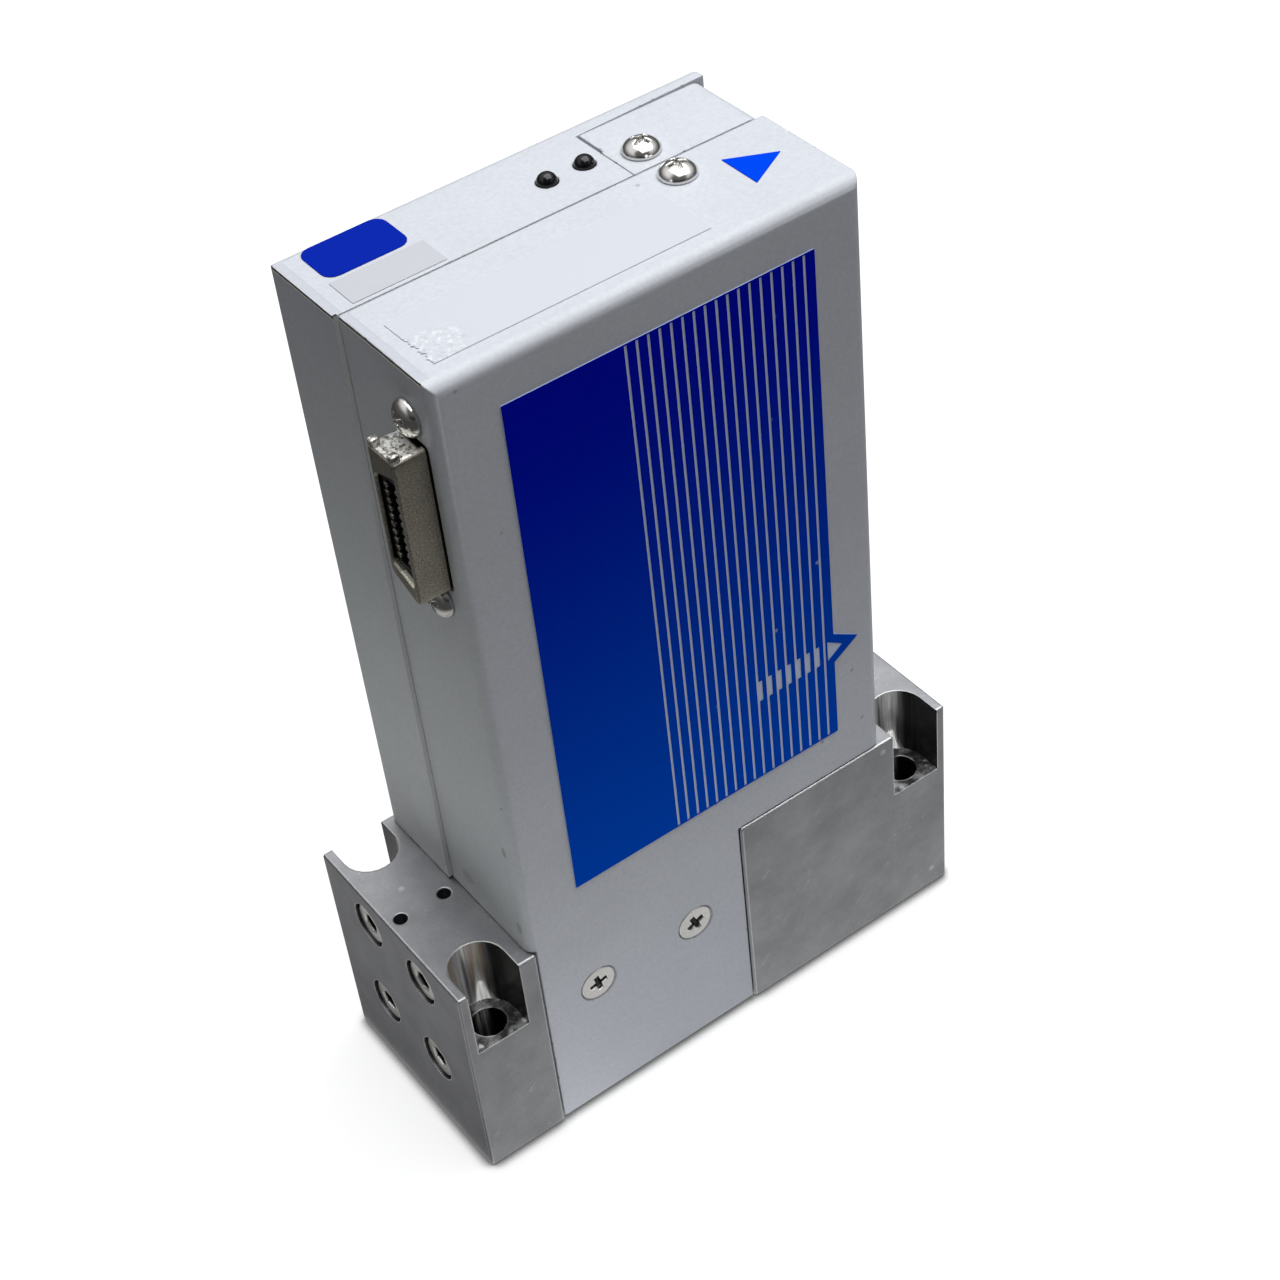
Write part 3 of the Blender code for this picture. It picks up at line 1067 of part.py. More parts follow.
def make_front_label(white, blue):
    """A light label under a field of colour, with fine upright stripes and a flow arrow cut out of it."""
    right = PRINT_RIGHT
    tip = right + ARROW_TIP
    back = -COVER_FACE - FILM_GAP
    outline = [(PRINT_LEFT, PRINT_BOTTOM), (right, PRINT_BOTTOM), (right, ARROW_HEIGHT - ARROW_HALF),
               (tip, ARROW_HEIGHT), (right, ARROW_HEIGHT + ARROW_HALF), (right, PRINT_TOP),
               (PRINT_LEFT, PRINT_TOP)]
    prism("front_label", "Y", outline, back - FRONT_LABEL_THICKNESS, back, white)

    back -= FRONT_LABEL_THICKNESS + FILM_GAP
    field = prism("front_print", "Y", outline, back - PRINT_THICKNESS, back, blue)
    low = PRINT_BOTTOM + PRINT_MARGIN
    high = PRINT_TOP - PRINT_MARGIN
    bar_low = ARROW_HEIGHT - BAR_HEIGHT / 2
    bar_high = ARROW_HEIGHT + BAR_HEIGHT / 2
    for index in range(STRIPE_COUNT):
        left = right - STRIPE_MARGIN - STRIPE_WIDTH - (STRIPE_COUNT - 1 - index) * STRIPE_PITCH
        edge = left + STRIPE_WIDTH
        stripe = [(left, low), (edge, low), (edge, high), (left, high)]
        if STRIPE_COUNT - 1 - FLOW_BARS <= index < STRIPE_COUNT - 1:
            bulge = left + BAR_WIDTH
            stripe[2:2] = [(edge, bar_low), (bulge, bar_low), (bulge, bar_high), (edge, bar_high)]
        cut(field, through_print("stripe", stripe))
    head = ARROW_HALF - ARROW_BORDER * 0.75
    base = right - ARROW_BORDER
    point = tip - 2.4 * ARROW_BORDER
    cut(field, through_print("arrow_head", [(base, ARROW_HEIGHT - head), (point, ARROW_HEIGHT),
                                            (base, ARROW_HEIGHT + head)]))


def through_print(name, outline):
    """A cutter that passes right through the print layer."""
    back = -COVER_FACE - 2 * FILM_GAP - FRONT_LABEL_THICKNESS
    return prism(name, "Y", outline, back - PRINT_THICKNESS - OVERCUT, back + OVERCUT)


def make_top_labels(blue, grey, clear):
    """The gas, range and rating labels and the flow marker, flat on the top."""
    base = COVER_TOP + FILM_GAP
    top = base + LABEL_THICKNESS
    left = COVER_LEFT + RANGE_LABEL_LEFT_MARGIN
    front = SEAM_Y + RANGE_LABEL_SEAM_GAP
    rear = front + RANGE_LABEL_WIDTH
    box("range_label", (left, left + RANGE_LABEL_LENGTH), (front, rear), (base, top), grey)

    left = COVER_LEFT + GAS_LABEL_LEFT_MARGIN
    front = rear + RANGE_LABEL_GAP
    rear = front + GAS_LABEL_WIDTH
    outline = rounded_rectangle((left, left + GAS_LABEL_LENGTH), (front, rear), GAS_LABEL_CORNER)
    prism("gas_label", "Z", outline, base, top, blue)

    left = COVER_LEFT + RATING_LABEL_LEFT_MARGIN
    front = RATING_LABEL_FRONT_MARGIN - COVER_FACE
    box("rating_label", (left, left + RATING_LABEL_LENGTH), (front, front + RATING_LABEL_WIDTH),
        (base, top), clear)

    tip = COVER_RIGHT - FLOW_MARK_RIGHT_MARGIN
    front = FLOW_MARK_FRONT_MARGIN - COVER_FACE
    mark = [(tip - FLOW_MARK_LENGTH, front), (tip, front + FLOW_MARK_WIDTH / 2),
            (tip - FLOW_MARK_LENGTH, front + FLOW_MARK_WIDTH)]
    prism("flow_marker", "Z", mark, base, top, blue)


def clear_scene():
    """Removes what the file started with."""
    for item in list(bpy.data.objects):
        bpy.data.objects.remove(item)


def main():
    """Builds every piece and hangs them all from one empty."""
    clear_scene()
    steel = material("ground_steel", (0.52, 0.52, 0.51), 0.38, 1.0)
    screw_steel = material("screw_steel", (0.62, 0.61, 0.58), 0.30, 1.0)
    bright = material("nickel_screw", (0.78, 0.77, 0.74), 0.15, 1.0)
    nickel = material("gasket_nickel", (0.70, 0.68, 0.62), 0.25, 1.0)
    die_cast = material("die_cast_shell", (0.36, 0.34, 0.30), 0.45, 1.0)
    paint = material("cover_paint", (0.80, 0.82, 0.85), 0.28)
    blue = material("print_blue", (0.01, 0.02, 0.28), 0.35)
    white = material("print_white", (0.62, 0.66, 0.74), 0.35)
    grey = material("label_grey", (0.66, 0.67, 0.70), 0.45)
    clear = material("label_film", (0.84, 0.85, 0.87), 0.30)
    black = material("black_plastic", (0.02, 0.02, 0.02), 0.45)
    dark_glass = material("lamp_lens", (0.01, 0.01, 0.01), 0.06)
    board = material("circuit_board", (0.02, 0.16, 0.06), 0.45)
    plated = material("plated_sheet", (0.58, 0.58, 0.55), 0.35, 1.0)
    polymer = material("seat_polymer", (0.85, 0.84, 0.80), 0.50)
    ceramic = material("piezo_ceramic", (0.30, 0.16, 0.08), 0.50)
    dark_metal = material("dark_metal", (0.10, 0.10, 0.11), 0.40, 1.0)

    make_inlet_block(steel)
    make_valve_body(steel)
    make_outlet_block(steel)
    make_tie_screws(screw_steel)
    make_joint_seals(nickel, steel)
    make_valve(steel, polymer, nickel, ceramic, dark_metal)
    make_pressure_sensors(steel, nickel)
    make_chassis(plated, bright)
    make_main_board(board, plated, bright)
    make_connector(die_cast, black, board, bright)
    make_lamps(dark_glass)
    make_covers(paint)
    make_cover_screws(bright)
    make_front_label(white, blue)
    make_top_labels(blue, grey, clear)

    pieces = list(bpy.data.objects)
    root = bpy.data.objects.new("mass_flow_controller", None)
    bpy.context.scene.collection.objects.link(root)
    for piece in pieces:
        piece.parent = root


main()
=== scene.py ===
"""The looks of a gas mass flow controller, dressed over its CAD frame.

Every CAD node gets a procedural finish and smooth shading with crisp edges. The screws, lamps,
connector shell and clear label that show are modelled again with more detail, and stand for their
nodes.
"""

from __future__ import annotations

import json
import logging
import math
from dataclasses import dataclass
from enum import Enum
from typing import Callable, Sequence, Union

import bmesh
import bpy
import numpy as np
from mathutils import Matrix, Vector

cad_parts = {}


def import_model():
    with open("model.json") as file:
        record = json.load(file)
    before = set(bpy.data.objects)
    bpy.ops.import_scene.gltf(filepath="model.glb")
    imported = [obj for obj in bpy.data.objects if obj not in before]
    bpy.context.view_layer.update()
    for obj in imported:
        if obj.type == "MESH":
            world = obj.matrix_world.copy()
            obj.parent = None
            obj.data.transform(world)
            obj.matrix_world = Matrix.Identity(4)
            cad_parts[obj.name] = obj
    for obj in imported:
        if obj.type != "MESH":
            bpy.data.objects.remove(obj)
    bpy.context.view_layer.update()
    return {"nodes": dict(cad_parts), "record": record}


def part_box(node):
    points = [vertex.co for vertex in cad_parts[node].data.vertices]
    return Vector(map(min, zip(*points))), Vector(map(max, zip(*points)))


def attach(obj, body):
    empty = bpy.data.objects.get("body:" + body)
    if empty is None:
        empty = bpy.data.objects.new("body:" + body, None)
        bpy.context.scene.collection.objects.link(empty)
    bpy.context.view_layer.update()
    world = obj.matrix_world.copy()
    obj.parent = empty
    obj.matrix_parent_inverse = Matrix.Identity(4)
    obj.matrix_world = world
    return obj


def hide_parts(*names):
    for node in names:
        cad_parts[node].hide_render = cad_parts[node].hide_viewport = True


LOG = logging.getLogger("scene")
MM = 0.001
ROOT = "root"
# Edges that turn more than this many degrees stay crisp, on a CAD node and on a finer piece.
CRISP_NODE = 35.0
CRISP_PIECE = 38.0
# Points nearer than this become one, on a CAD node and on a finer piece.
WELD_NODE = 1e-6
WELD_PIECE = 1e-7
# How near to a face a point counts as lying on it.
SKIN = 0.02 * MM
BEVEL_SAMPLES = 6
BLACK = (0.010, 0.010, 0.010)
WHITE = (1.0, 1.0, 1.0)
# From the rating label's front left corner to the middle of its tear.
TORN_CORNER = np.array((2.2 * MM, 3.0 * MM))
Socket = bpy.types.NodeSocket
Value = Union[float, Sequence[float], "Term"]
Colour = tuple[float, float, float]
Point = tuple[float, float, float]
Outline = list[tuple[float, float]]
Materials = dict[str, bpy.types.Material]


class Facing(Enum):
    """The way in which a screw's head looks."""

    LEFT = (-1.0, 0.0, 0.0)
    RIGHT = (1.0, 0.0, 0.0)
    FRONT = (0.0, -1.0, 0.0)
    REAR = (0.0, 1.0, 0.0)
    UP = (0.0, 0.0, 1.0)


# Shader graphs


def operator(operation: str, swapped: bool = False) -> Callable[[Term, Value], Term]:
    """A method of a term that adds the node for one operation.

    Args:
        operation: what the Math node does.
        swapped: whether the term comes second.

    Returns:
        The method.
    """

    def method(term: Term, other: Value) -> Term:
        """Adds the node."""
        return term.graph.math(operation, *((other, term) if swapped else (term, other)))

    return method


class Term:
    """An output in a shader graph. Sums, products and comparisons of terms become nodes."""

    def __init__(self, graph: Graph, socket: Socket) -> None:
        """Keeps the graph and the socket to read."""
        self.graph = graph
        self.socket = socket

    __add__ = operator("ADD")
    __radd__ = operator("ADD", swapped=True)
    __sub__ = operator("SUBTRACT")
    __rsub__ = operator("SUBTRACT", swapped=True)
    __mul__ = operator("MULTIPLY")
    __truediv__ = operator("DIVIDE")
    __pow__ = operator("POWER")
    __lt__ = operator("LESS_THAN")
    __gt__ = operator("GREATER_THAN")

    def __abs__(self) -> Term:
        """The size without the sign."""
        return self.graph.math("ABSOLUTE", self)


class Graph:
    """A node tree with short calls for the nodes that the finishes share."""

    def __init__(self, tree: bpy.types.NodeTree) -> None:
        """Keeps the tree to work on."""
        self.tree = tree

    def node(self, kind: str, inputs: dict | None = None, **settings: object) -> bpy.types.Node:
        """Adds a node.

        Args:
            kind: the node's type, without the ShaderNode prefix.
            inputs: values or terms by input name or number.
            settings: attributes of the node itself.

        Returns:
            The new node.
        """
        made = self.tree.nodes.new(kind if kind.startswith("Node") else "ShaderNode" + kind)
        for name, value in settings.items():
            setattr(made, name, value)
        for name, value in (inputs or {}).items():
            self.feed(made.inputs[name], value)
        return made

    def out(self, kind: str, inputs: dict | None = None, output: int | str = 0, **settings: object) -> Term:
        """Adds a node and gives one of its outputs."""
        return Term(self, self.node(kind, inputs, **settings).outputs[output])

    def outs(self, kind: str, inputs: dict | None = None, **settings: object) -> dict[str, Term]:
        """Adds a node and gives all its outputs by name."""
        return {one.name: Term(self, one) for one in self.node(kind, inputs, **settings).outputs}

    def feed(self, target: Socket, value: Value) -> None:
        """Links a term, or sets the constant, on an input."""
        if isinstance(value, Term):
            self.tree.links.new(value.socket, target)
        else:
            target.default_value = value

    def math(self, operation: str, first: Value, second: Value = 0.0) -> Term:
        """Arithmetic on one or two values."""
        return self.out("Math", {0: first, 1: second}, operation=operation)

    def vector(self, operation: str, first: Value, second: Value = (0.0, 0.0, 0.0)) -> Term:
        """Arithmetic on one or two vectors. A length or a product comes out as a value."""
        output = "Value" if operation in ("LENGTH", "DOT_PRODUCT") else "Vector"
        return self.out("VectorMath", {0: first, 1: second}, output, operation=operation)

    def blend(self, factor: Value, first: Value, second: Value, mode: str = "MIX") -> Term:
        """Mixes two colours, each of them a term or three numbers."""
        first, second = (one if isinstance(one, Term) else (*one, 1.0) for one in (first, second))
        return self.out("Mix", {0: factor, 6: first, 7: second}, 2, data_type="RGBA", blend_type=mode)

    def tint(self, base: Value, mask: Term, colour: Value, strength: float = 1.0) -> Term:
        """Turns a colour towards another one where the mask is."""
        return self.blend(mask if strength == 1.0 else mask * strength, base, colour)

    def shaded(self, base: Value, value: Term) -> Term:
        """Multiplies a colour by a value."""
        return self.blend(1.0, base, self.grey(value), "MULTIPLY")

    def remap(self, value: Value, low: float, high: float, to_low: float = 0.0, to_high: float = 1.0,
              course: str = "LINEAR") -> Term:
        """Carries one range of values onto another, and clamps it."""
        inputs = {0: value, 1: low, 2: high, 3: to_low, 4: to_high}
        return self.out("MapRange", inputs, interpolation_type=course)

    def ease(self, *values: Value) -> Term:
        """Does what remap does, and leaves and arrives softly."""
        return self.remap(*values, course="SMOOTHSTEP")

    def noise(self, place: Value, scale: Value, detail: float = 4.0, rough: float = 0.5) -> Term:
        """Cloudy noise from 0 to 1."""
        return self.out("TexNoise", {"Vector": place, "Scale": scale, "Detail": detail, "Roughness": rough})

    def grey(self, value: Value) -> Term:
        """Turns one value into a grey colour."""
        return self.out("CombineColor", {0: value, 1: value, 2: value})

    def split(self, place: Value) -> tuple[Term, ...]:
        """The X, Y and Z of a vector."""
        return tuple(self.outs("SeparateXYZ", {0: place}).values())

    def join(self, x: Value, y: Value, z: Value = 0.0) -> Term:
        """The vector of three values."""
        return self.out("CombineXYZ", {0: x, 1: y, 2: z})

    def mask(self, tree: bpy.types.NodeTree, **inputs: Value) -> Term:
        """The mask that a shared node group gives."""
        return self.out("Group", inputs, "Mask", node_tree=tree)

    def place(self) -> Term:
        """The point's place on the object, in metres."""
        return self.out("TexCoord", output="Object")

    def bump(self, height: Value, strength: float, distance: float, normal: Term | None = None) -> Term:
        """A normal that follows a height, over another normal if one is given."""
        inputs = {"Height": height, "Strength": strength, "Distance": distance}
        return self.out("Bump", inputs if normal is None else {**inputs, "Normal": normal})

    def rounded(self, radius: Value) -> Term:
        """The normal that the surface would have with rounded edges."""
        return self.out("Bevel", {"Radius": radius}, samples=BEVEL_SAMPLES)

    def steer(self, factor: Value, normal: Value, way: Value) -> Term:
        """Turns a normal towards another way."""
        return self.out("Mix", {0: factor, 4: normal, 5: way}, 1, data_type="VECTOR")

    def between(self, value: Term, low: float, high: float) -> Term:
        """1 where a value lies between two limits, or else 0."""
        return (value > low) * (value < high)

    def rays(self) -> tuple[Term, Term]:
        """Whether a ray comes from the camera, and whether from a mirroring or a clear surface."""
        path = self.outs("LightPath")
        mirrored = self.math("MAXIMUM", path["Is Glossy Ray"], path["Is Transmission Ray"])
        return path["Is Camera Ray"], mirrored


def new_group(name: str, inputs: dict[str, str], outputs: Sequence[str],
              body: Callable[[Graph, dict[str, Term]], Sequence[Term]]) -> bpy.types.NodeTree:
    """Makes a shared node group.

    Args:
        name: the group's name.
        inputs: the kind of each input by name, as Float or Vector.
        outputs: the names of its outputs, which are values.
        body: makes the group's nodes from its inputs, and returns what its outputs give.

    Returns:
        The group.
    """
    tree = bpy.data.node_groups.new(name, "ShaderNodeTree")
    for label, kind in inputs.items():
        tree.interface.new_socket(label, in_out="INPUT", socket_type="NodeSocket" + kind)
    for label in outputs:
        tree.interface.new_socket(label, in_out="OUTPUT", socket_type="NodeSocketFloat")
    graph = Graph(tree)
    graph.node("NodeGroupOutput", dict(zip(outputs, body(graph, graph.outs("NodeGroupInput")))))
    return tree


class Effects:
    """The node groups that several finishes share."""

    def __init__(self) -> None:
        """Builds each group once."""
        one, three, mask = "Float", "Vector", ("Mask",)
        self.grain = new_group("Grain", {"Place": three, "Stretch": three, "Scale": one},
                               ("Lines", "Clouds"), self._grain)
        self.specks = new_group("Specks", {"Place": three, "Scale": one, "Share": one}, mask, self._specks)
        self.edges = new_group("Edges", {"Radius": one}, mask, self._edges)
        self.scratches = new_group("Scratches", {"Place": three, "Stretch": three, "Width": one}, mask,
                                   self._scratches)
        self.spot = new_group("Spot", {"Place": three, "Centre": three, "Size": three}, mask, self._spot)

    @staticmethod
    def _grain(graph: Graph, get: dict[str, Term]) -> Sequence[Term]:
        """Noise stretched along an axis, as grinding leaves it, and broad cloudiness."""
        stretched = graph.vector("MULTIPLY", get["Place"], get["Stretch"])
        return graph.noise(stretched, get["Scale"], 6.0, 0.7), graph.noise(get["Place"], 130.0, 5.0, 0.62)

    @staticmethod
    def _specks(graph: Graph, get: dict[str, Term]) -> Sequence[Term]:
        """Scattered small round marks: Share is the part of the cells that hold one."""
        cells = graph.outs("TexVoronoi", {"Vector": get["Place"], "Scale": get["Scale"], "Randomness": 1.0})
        chosen = graph.out("SeparateColor", {0: cells["Color"]}) < get["Share"]
        return (chosen * graph.ease(cells["Distance"], 0.30, 0.12),)

    @staticmethod
    def _edges(graph: Graph, get: dict[str, Term]) -> Sequence[Term]:
        """How near a point is to an edge, from how far a rounded normal would turn."""
        normal = graph.out("NewGeometry", output="Normal")
        turned = graph.vector("DOT_PRODUCT", graph.rounded(get["Radius"]), normal)
        return (graph.ease(turned, 0.998, 0.90),)

    @staticmethod
    def _scratches(graph: Graph, get: dict[str, Term]) -> Sequence[Term]:
        """Sparse thin lines, where a long stretched noise crosses its middle value."""
        turned = graph.out("VectorRotate", {"Vector": get["Place"], "Rotation": (0.6, 0.5, 0.4)},
                           rotation_type="EULER_XYZ")
        field = graph.noise(graph.vector("MULTIPLY", turned, get["Stretch"]), 1.0, 1.0)
        here = graph.ease(graph.noise(get["Place"], 210.0, 2.0), 0.56, 0.64)
        return ((abs(field - 0.5) < get["Width"]) * here,)

    @staticmethod
    def _spot(graph: Graph, get: dict[str, Term]) -> Sequence[Term]:
        """One soft oval mark around a place, with ragged borders."""
        off = graph.vector("SUBTRACT", get["Place"], get["Centre"])
        far = graph.vector("LENGTH", graph.vector("DIVIDE", off, get["Size"]))
        rough = graph.noise(get["Place"], 900.0, 4.0, 0.7)
        ragged = graph.out("Math", {0: rough, 1: 0.7, 2: -0.35}, operation="MULTIPLY_ADD")
        return (graph.ease(far + ragged, 1.1, 0.8),)


# Finishes


@dataclass(frozen=True)
class Finish:
    """A surface's looks.

    Args:
        name: the material's name.
    """

    name: str

    def build(self, effects: Effects) -> bpy.types.Material:
        """Makes the material."""
        made = bpy.data.materials.new(self.name)
        made.use_nodes = True
        graph = Graph(made.node_tree)
        shader = made.node_tree.nodes["Principled BSDF"]
        for label, value in self.inputs(graph, effects).items():
            graph.feed(shader.inputs[label], value)
        return made

    def inputs(self, graph: Graph, effects: Effects) -> dict[str, Value]:
        """What the shader's inputs get, by name. Each finish has its own."""
        raise NotImplementedError


@dataclass(frozen=True)
class Metal(Finish):
    """Ground, plated or polished metal.

    Args:
        base: colour of the clean metal.
        roughness: its middle roughness.
        stretch: how the grain is squeezed along X, Y and Z. A small number is a long streak.
        grain: strength of the grain's relief.
        cloud: how much light and dark clouds change the colour.
        edge: how much the edges brighten, as wear and as a painted highlight.
        scale: how fine the grain is, in cycles a metre.
        scratch: how pale the scratches are, or 0 for none.
        worn: radius of the bright edge, worn and partly a painted highlight.
        recess: how much painted shade darkens the sunk parts of a screw.
    """

    base: Colour
    roughness: float
    stretch: Point = (1.0, 1.0, 1.0)
    grain: float = 0.15
    cloud: float = 0.12
    edge: float = 0.25
    scale: float = 2600.0
    scratch: float = 0.0
    worn: float = 0.35 * MM
    recess: float = 0.0

    def inputs(self, graph: Graph, effects: Effects) -> dict[str, Value]:
        """The metal over its rounded edges."""
        base, rough, height = self.surface(graph, effects)
        return {"Base Color": base, "Metallic": 1.0, "Roughness": rough,
                "Normal": graph.bump(height, self.grain, 0.02 * MM, graph.rounded(self.worn))}

    def surface(self, graph: Graph, effects: Effects) -> tuple[Term, Term, Term]:
        """The metal's colour, roughness and relief."""
        place = graph.place()
        grain = graph.outs("Group", {"Place": place, "Stretch": self.stretch, "Scale": self.scale},
                           node_tree=effects.grain)
        clouds = graph.remap(grain["Clouds"], 0.3, 0.7, 1.0 - self.cloud, 1.0 + self.cloud)
        base = graph.shaded(self.base, clouds * graph.remap(grain["Lines"], 0.25, 0.75, 0.88, 1.12))
        if self.scratch:
            marks = graph.mask(effects.scratches, Place=place, Stretch=(60.0, 900.0, 900.0), Width=0.006)
            base = graph.tint(base, marks, (0.75, 0.75, 0.75), self.scratch)
            specks = graph.mask(effects.specks, Place=place, Scale=420.0, Share=0.02)
            base = graph.tint(base, specks, (0.8, 0.8, 0.8), self.scratch)
        # Edges brightened: wear, and partly a painted highlight.
        if self.edge:
            bright = tuple(min(1.0, c + self.edge) for c in self.base)
            base = graph.tint(base, graph.mask(effects.edges, Radius=self.worn), bright, 0.9)
        # Painted shade in a screw's cross or hexagon recess.
        if self.recess:
            sunk = graph.out("Attribute", output="Fac", attribute_name="sunk")
            base = graph.tint(base, sunk, (0.015, 0.015, 0.015), self.recess)
        rough = graph.remap(grain["Lines"], 0.2, 0.8, self.roughness * 0.85, self.roughness * 1.2)
        return base, rough, grain["Lines"]


@dataclass(frozen=True)
class MachinedBlock(Metal):
    """Ground steel whose milled bolt recesses and holes carry painted reflections, a painted highlight and
    painted shade.

    Args:
        bolts: half the pitch of the bolts along X and Y.
        reach: radius of a recess and a little more.
        seat: height of the seat in the recess.
        top: height of the block.
        front: half the depth of the block.
        end: place of the block's outer face.
        ties: half the tie screws' pitch along Y, their middle height, half their pitch along Z, and
            the radius of their seats.
        flare_way: the way, from the bolt, of the painted bright flare on the recess's wall.
        flare_normal: where the flare's normal is turned.
        rim: inner and outer radius of the painted bright rim round the bolt hole.
    """

    bolts: tuple[float, float] = (39.9 * MM, 15.0 * MM)
    reach: float = 4.58 * MM
    seat: float = 26.2 * MM
    top: float = 39.1 * MM
    front: float = 19.075 * MM
    end: float = 46.0 * MM
    ties: tuple[float, float, float, float] = (7.3 * MM, 24.0 * MM, 9.0 * MM, 4.05 * MM)
    flare_way: Point = (0.40, 0.917, 0.0)
    flare_normal: Point = (-0.224, -0.51, 0.83)
    rim: tuple[float, float] = (2.85 * MM, 3.05 * MM)

    def inputs(self, graph: Graph, effects: Effects) -> dict[str, Value]:
        """Ground steel, and painted reflections, highlight and shade inside the recesses."""
        base, rough, height = self.surface(graph, effects)
        x, y, z = graph.split(graph.place())
        # Painted shade round the tie screws' heads, in their seats.
        base = graph.tint(base, self.counterbore_shade(graph, x, y, z), (0.02, 0.02, 0.02), 0.7)
        off_x = x - graph.math("SIGN", x) * self.bolts[0]
        deep = abs(y)
        off_y = self.bolts[1] - deep
        centred = graph.join(off_x, off_y)
        around = graph.join(off_x, graph.math("MAXIMUM", off_y, 0.0))
        inside = graph.vector("LENGTH", around) < self.reach
        inside = inside * (z < self.top - SKIN) * (deep < self.front - SKIN) * (z > 0.5 * MM)
        base = graph.shaded(base, graph.remap(z, 0.0, self.top - MM, 1.06, 0.93))
        painted_recess, flare = self.paint_recess_light(graph, around, centred, z)
        normal = graph.steer(inside * flare, graph.rounded(self.worn), self.flare_normal)
        return {"Base Color": graph.blend(inside, base, painted_recess), "Specular IOR Level": 0.2,
                "Metallic": graph.remap(inside, 0.0, 1.0, 1.0, 0.3),
                "Roughness": graph.out("Mix", {0: inside, 2: rough, 3: 0.2}, data_type="FLOAT"),
                "Normal": graph.bump(height, self.grain, 0.02 * MM, normal)}

    def counterbore_shade(self, graph: Graph, x: Term, y: Term, z: Term) -> Term:
        """Where the shallow seats of the tie screws' heads are, which get painted shade."""
        half_y, middle, half_z, radius = self.ties
        flat = graph.join(abs(y) - half_y, abs(z - middle) - half_z)
        near = graph.vector("LENGTH", flat) < radius
        return near * (abs(x) < self.end - 0.03 * MM) * (abs(x) > self.end - 4 * MM)

    def paint_recess_light(self, graph: Graph, around: Term, centred: Term, z: Term) -> tuple[Term, Term]:
        """Painted reflections: upright streaks that turn to painted shade on the outer side, over a painted
        bell of light at the back wall's foot.

        Args:
            graph: the material's graph.
            around: the point's offset from the middle line of the open recess.
            centred: its offset from the bolt's axis.
            z: its height.

        Returns:
            The colour, and where the normal is turned up to the light.
        """
        way = graph.vector("NORMALIZE", around)
        tall = z * 22.0
        spread = graph.vector("ADD", graph.vector("MULTIPLY", way, (3.4, 3.4, 0.0)),
                              graph.join(tall, tall, tall))
        tone = graph.noise(spread, 1.6, 3.0, 0.55)
        # Painted reflections: streaks from dark grey to near white.
        steel = graph.blend(graph.remap(tone, 0.34, 0.66), (0.24, 0.24, 0.235), (0.98, 0.98, 0.97))
        inlet = graph.split(graph.place())[0] < 0.0
        warm = graph.remap(graph.noise(spread, 0.8, 1.0), 0.50, 0.62, 0.0, 0.7) * inlet
        steel = graph.tint(steel, warm, (0.42, 0.31, 0.21))
        # Painted shade: the recess's outer side turns nearly black.
        dark = graph.ease(graph.split(way)[0], 0.44, 0.82, 0.0, 0.97)
        steel = graph.tint(steel, dark, (0.010, 0.010, 0.011))
        toward = graph.vector("DOT_PRODUCT", way, self.flare_way) + (tone - 0.5) * 0.02
        low = graph.remap(z, self.seat + 8.0 * MM, self.seat + 0.1 * MM) ** 4.0
        inward = 1.0 - (1.0 - toward) / (0.012 + low * 0.115)
        flare = (graph.ease(inward, 0.0, 0.8)
                 * graph.remap(z, self.seat + 10.0 * MM, self.seat + 4.0 * MM, 0.15, 1.0))
        # Painted highlight: the colour of the flare.
        glow = graph.blend(graph.remap(tone, 0.38, 0.60), (0.42, 0.41, 0.39), (0.92, 0.91, 0.89))
        steel = graph.tint(steel, flare, glow)
        flat = graph.split(graph.out("NewGeometry", output="Normal"))[2] > 0.7
        steel = graph.tint(steel, flat, self.seats(graph, centred))
        # Painted shade: the bolt hole is black, with a few painted streaks of reflection.
        hole = z < self.seat - 0.03 * MM
        turn_x, turn_y, _ = graph.split(graph.vector("NORMALIZE", centred))
        streak = (graph.ease(turn_x, -0.50, -0.20) * graph.ease(turn_x, 0.62, 0.36)
                  * (turn_y > 0.0) * graph.remap(z, self.seat - 9.0 * MM, self.seat - 2.0 * MM))
        inner = graph.blend(streak * graph.remap(tone, 0.38, 0.62), BLACK, (0.26, 0.25, 0.24))
        open_wall = 1.0 - graph.math("MAXIMUM", hole, flat)
        return graph.tint(steel, hole, inner), flare * open_wall + streak * hole * 0.9

    def seats(self, graph: Graph, centred: Term) -> Term:
        """Colour of the seat round the bolt hole: dull, with a painted bright rim and painted glints at the
        outer edge.
        """
        place = graph.place()
        far = graph.vector("LENGTH", centred)
        seat_mottle = graph.noise(place, 420.0, 3.0, 0.55)
        seat = graph.blend(graph.ease(seat_mottle, 0.40, 0.68), (0.05, 0.05, 0.05), (0.40, 0.40, 0.40))
        rim = graph.between(far + seat_mottle * (0.25 * MM), *self.rim)
        broken = graph.ease(graph.noise(place, 260.0, 1.0), 0.44, 0.58, 0.0, 0.6)
        seat = graph.tint(seat, rim * broken, (0.85, 0.85, 0.84))
        glints = (graph.ease(graph.noise(place, 850.0, 2.0), 0.58, 0.68)
                  * graph.ease(far, 3.5 * MM, 4.6 * MM))
        return graph.tint(seat, glints, (0.95, 0.96, 0.97))


@dataclass(frozen=True)
class MarkOrHighlight:
    """A handling mark on the paint, or a painted highlight.

    Args:
        centre: its place.
        size: its half lengths along X, Y and Z.
        colour: what it turns the paint to.
        strength: how much.
        edges: whether it shows on the edges only, as a worn chip or as a painted highlight.
    """

    centre: Point
    size: Point
    colour: Colour
    strength: float
    edges: bool = False


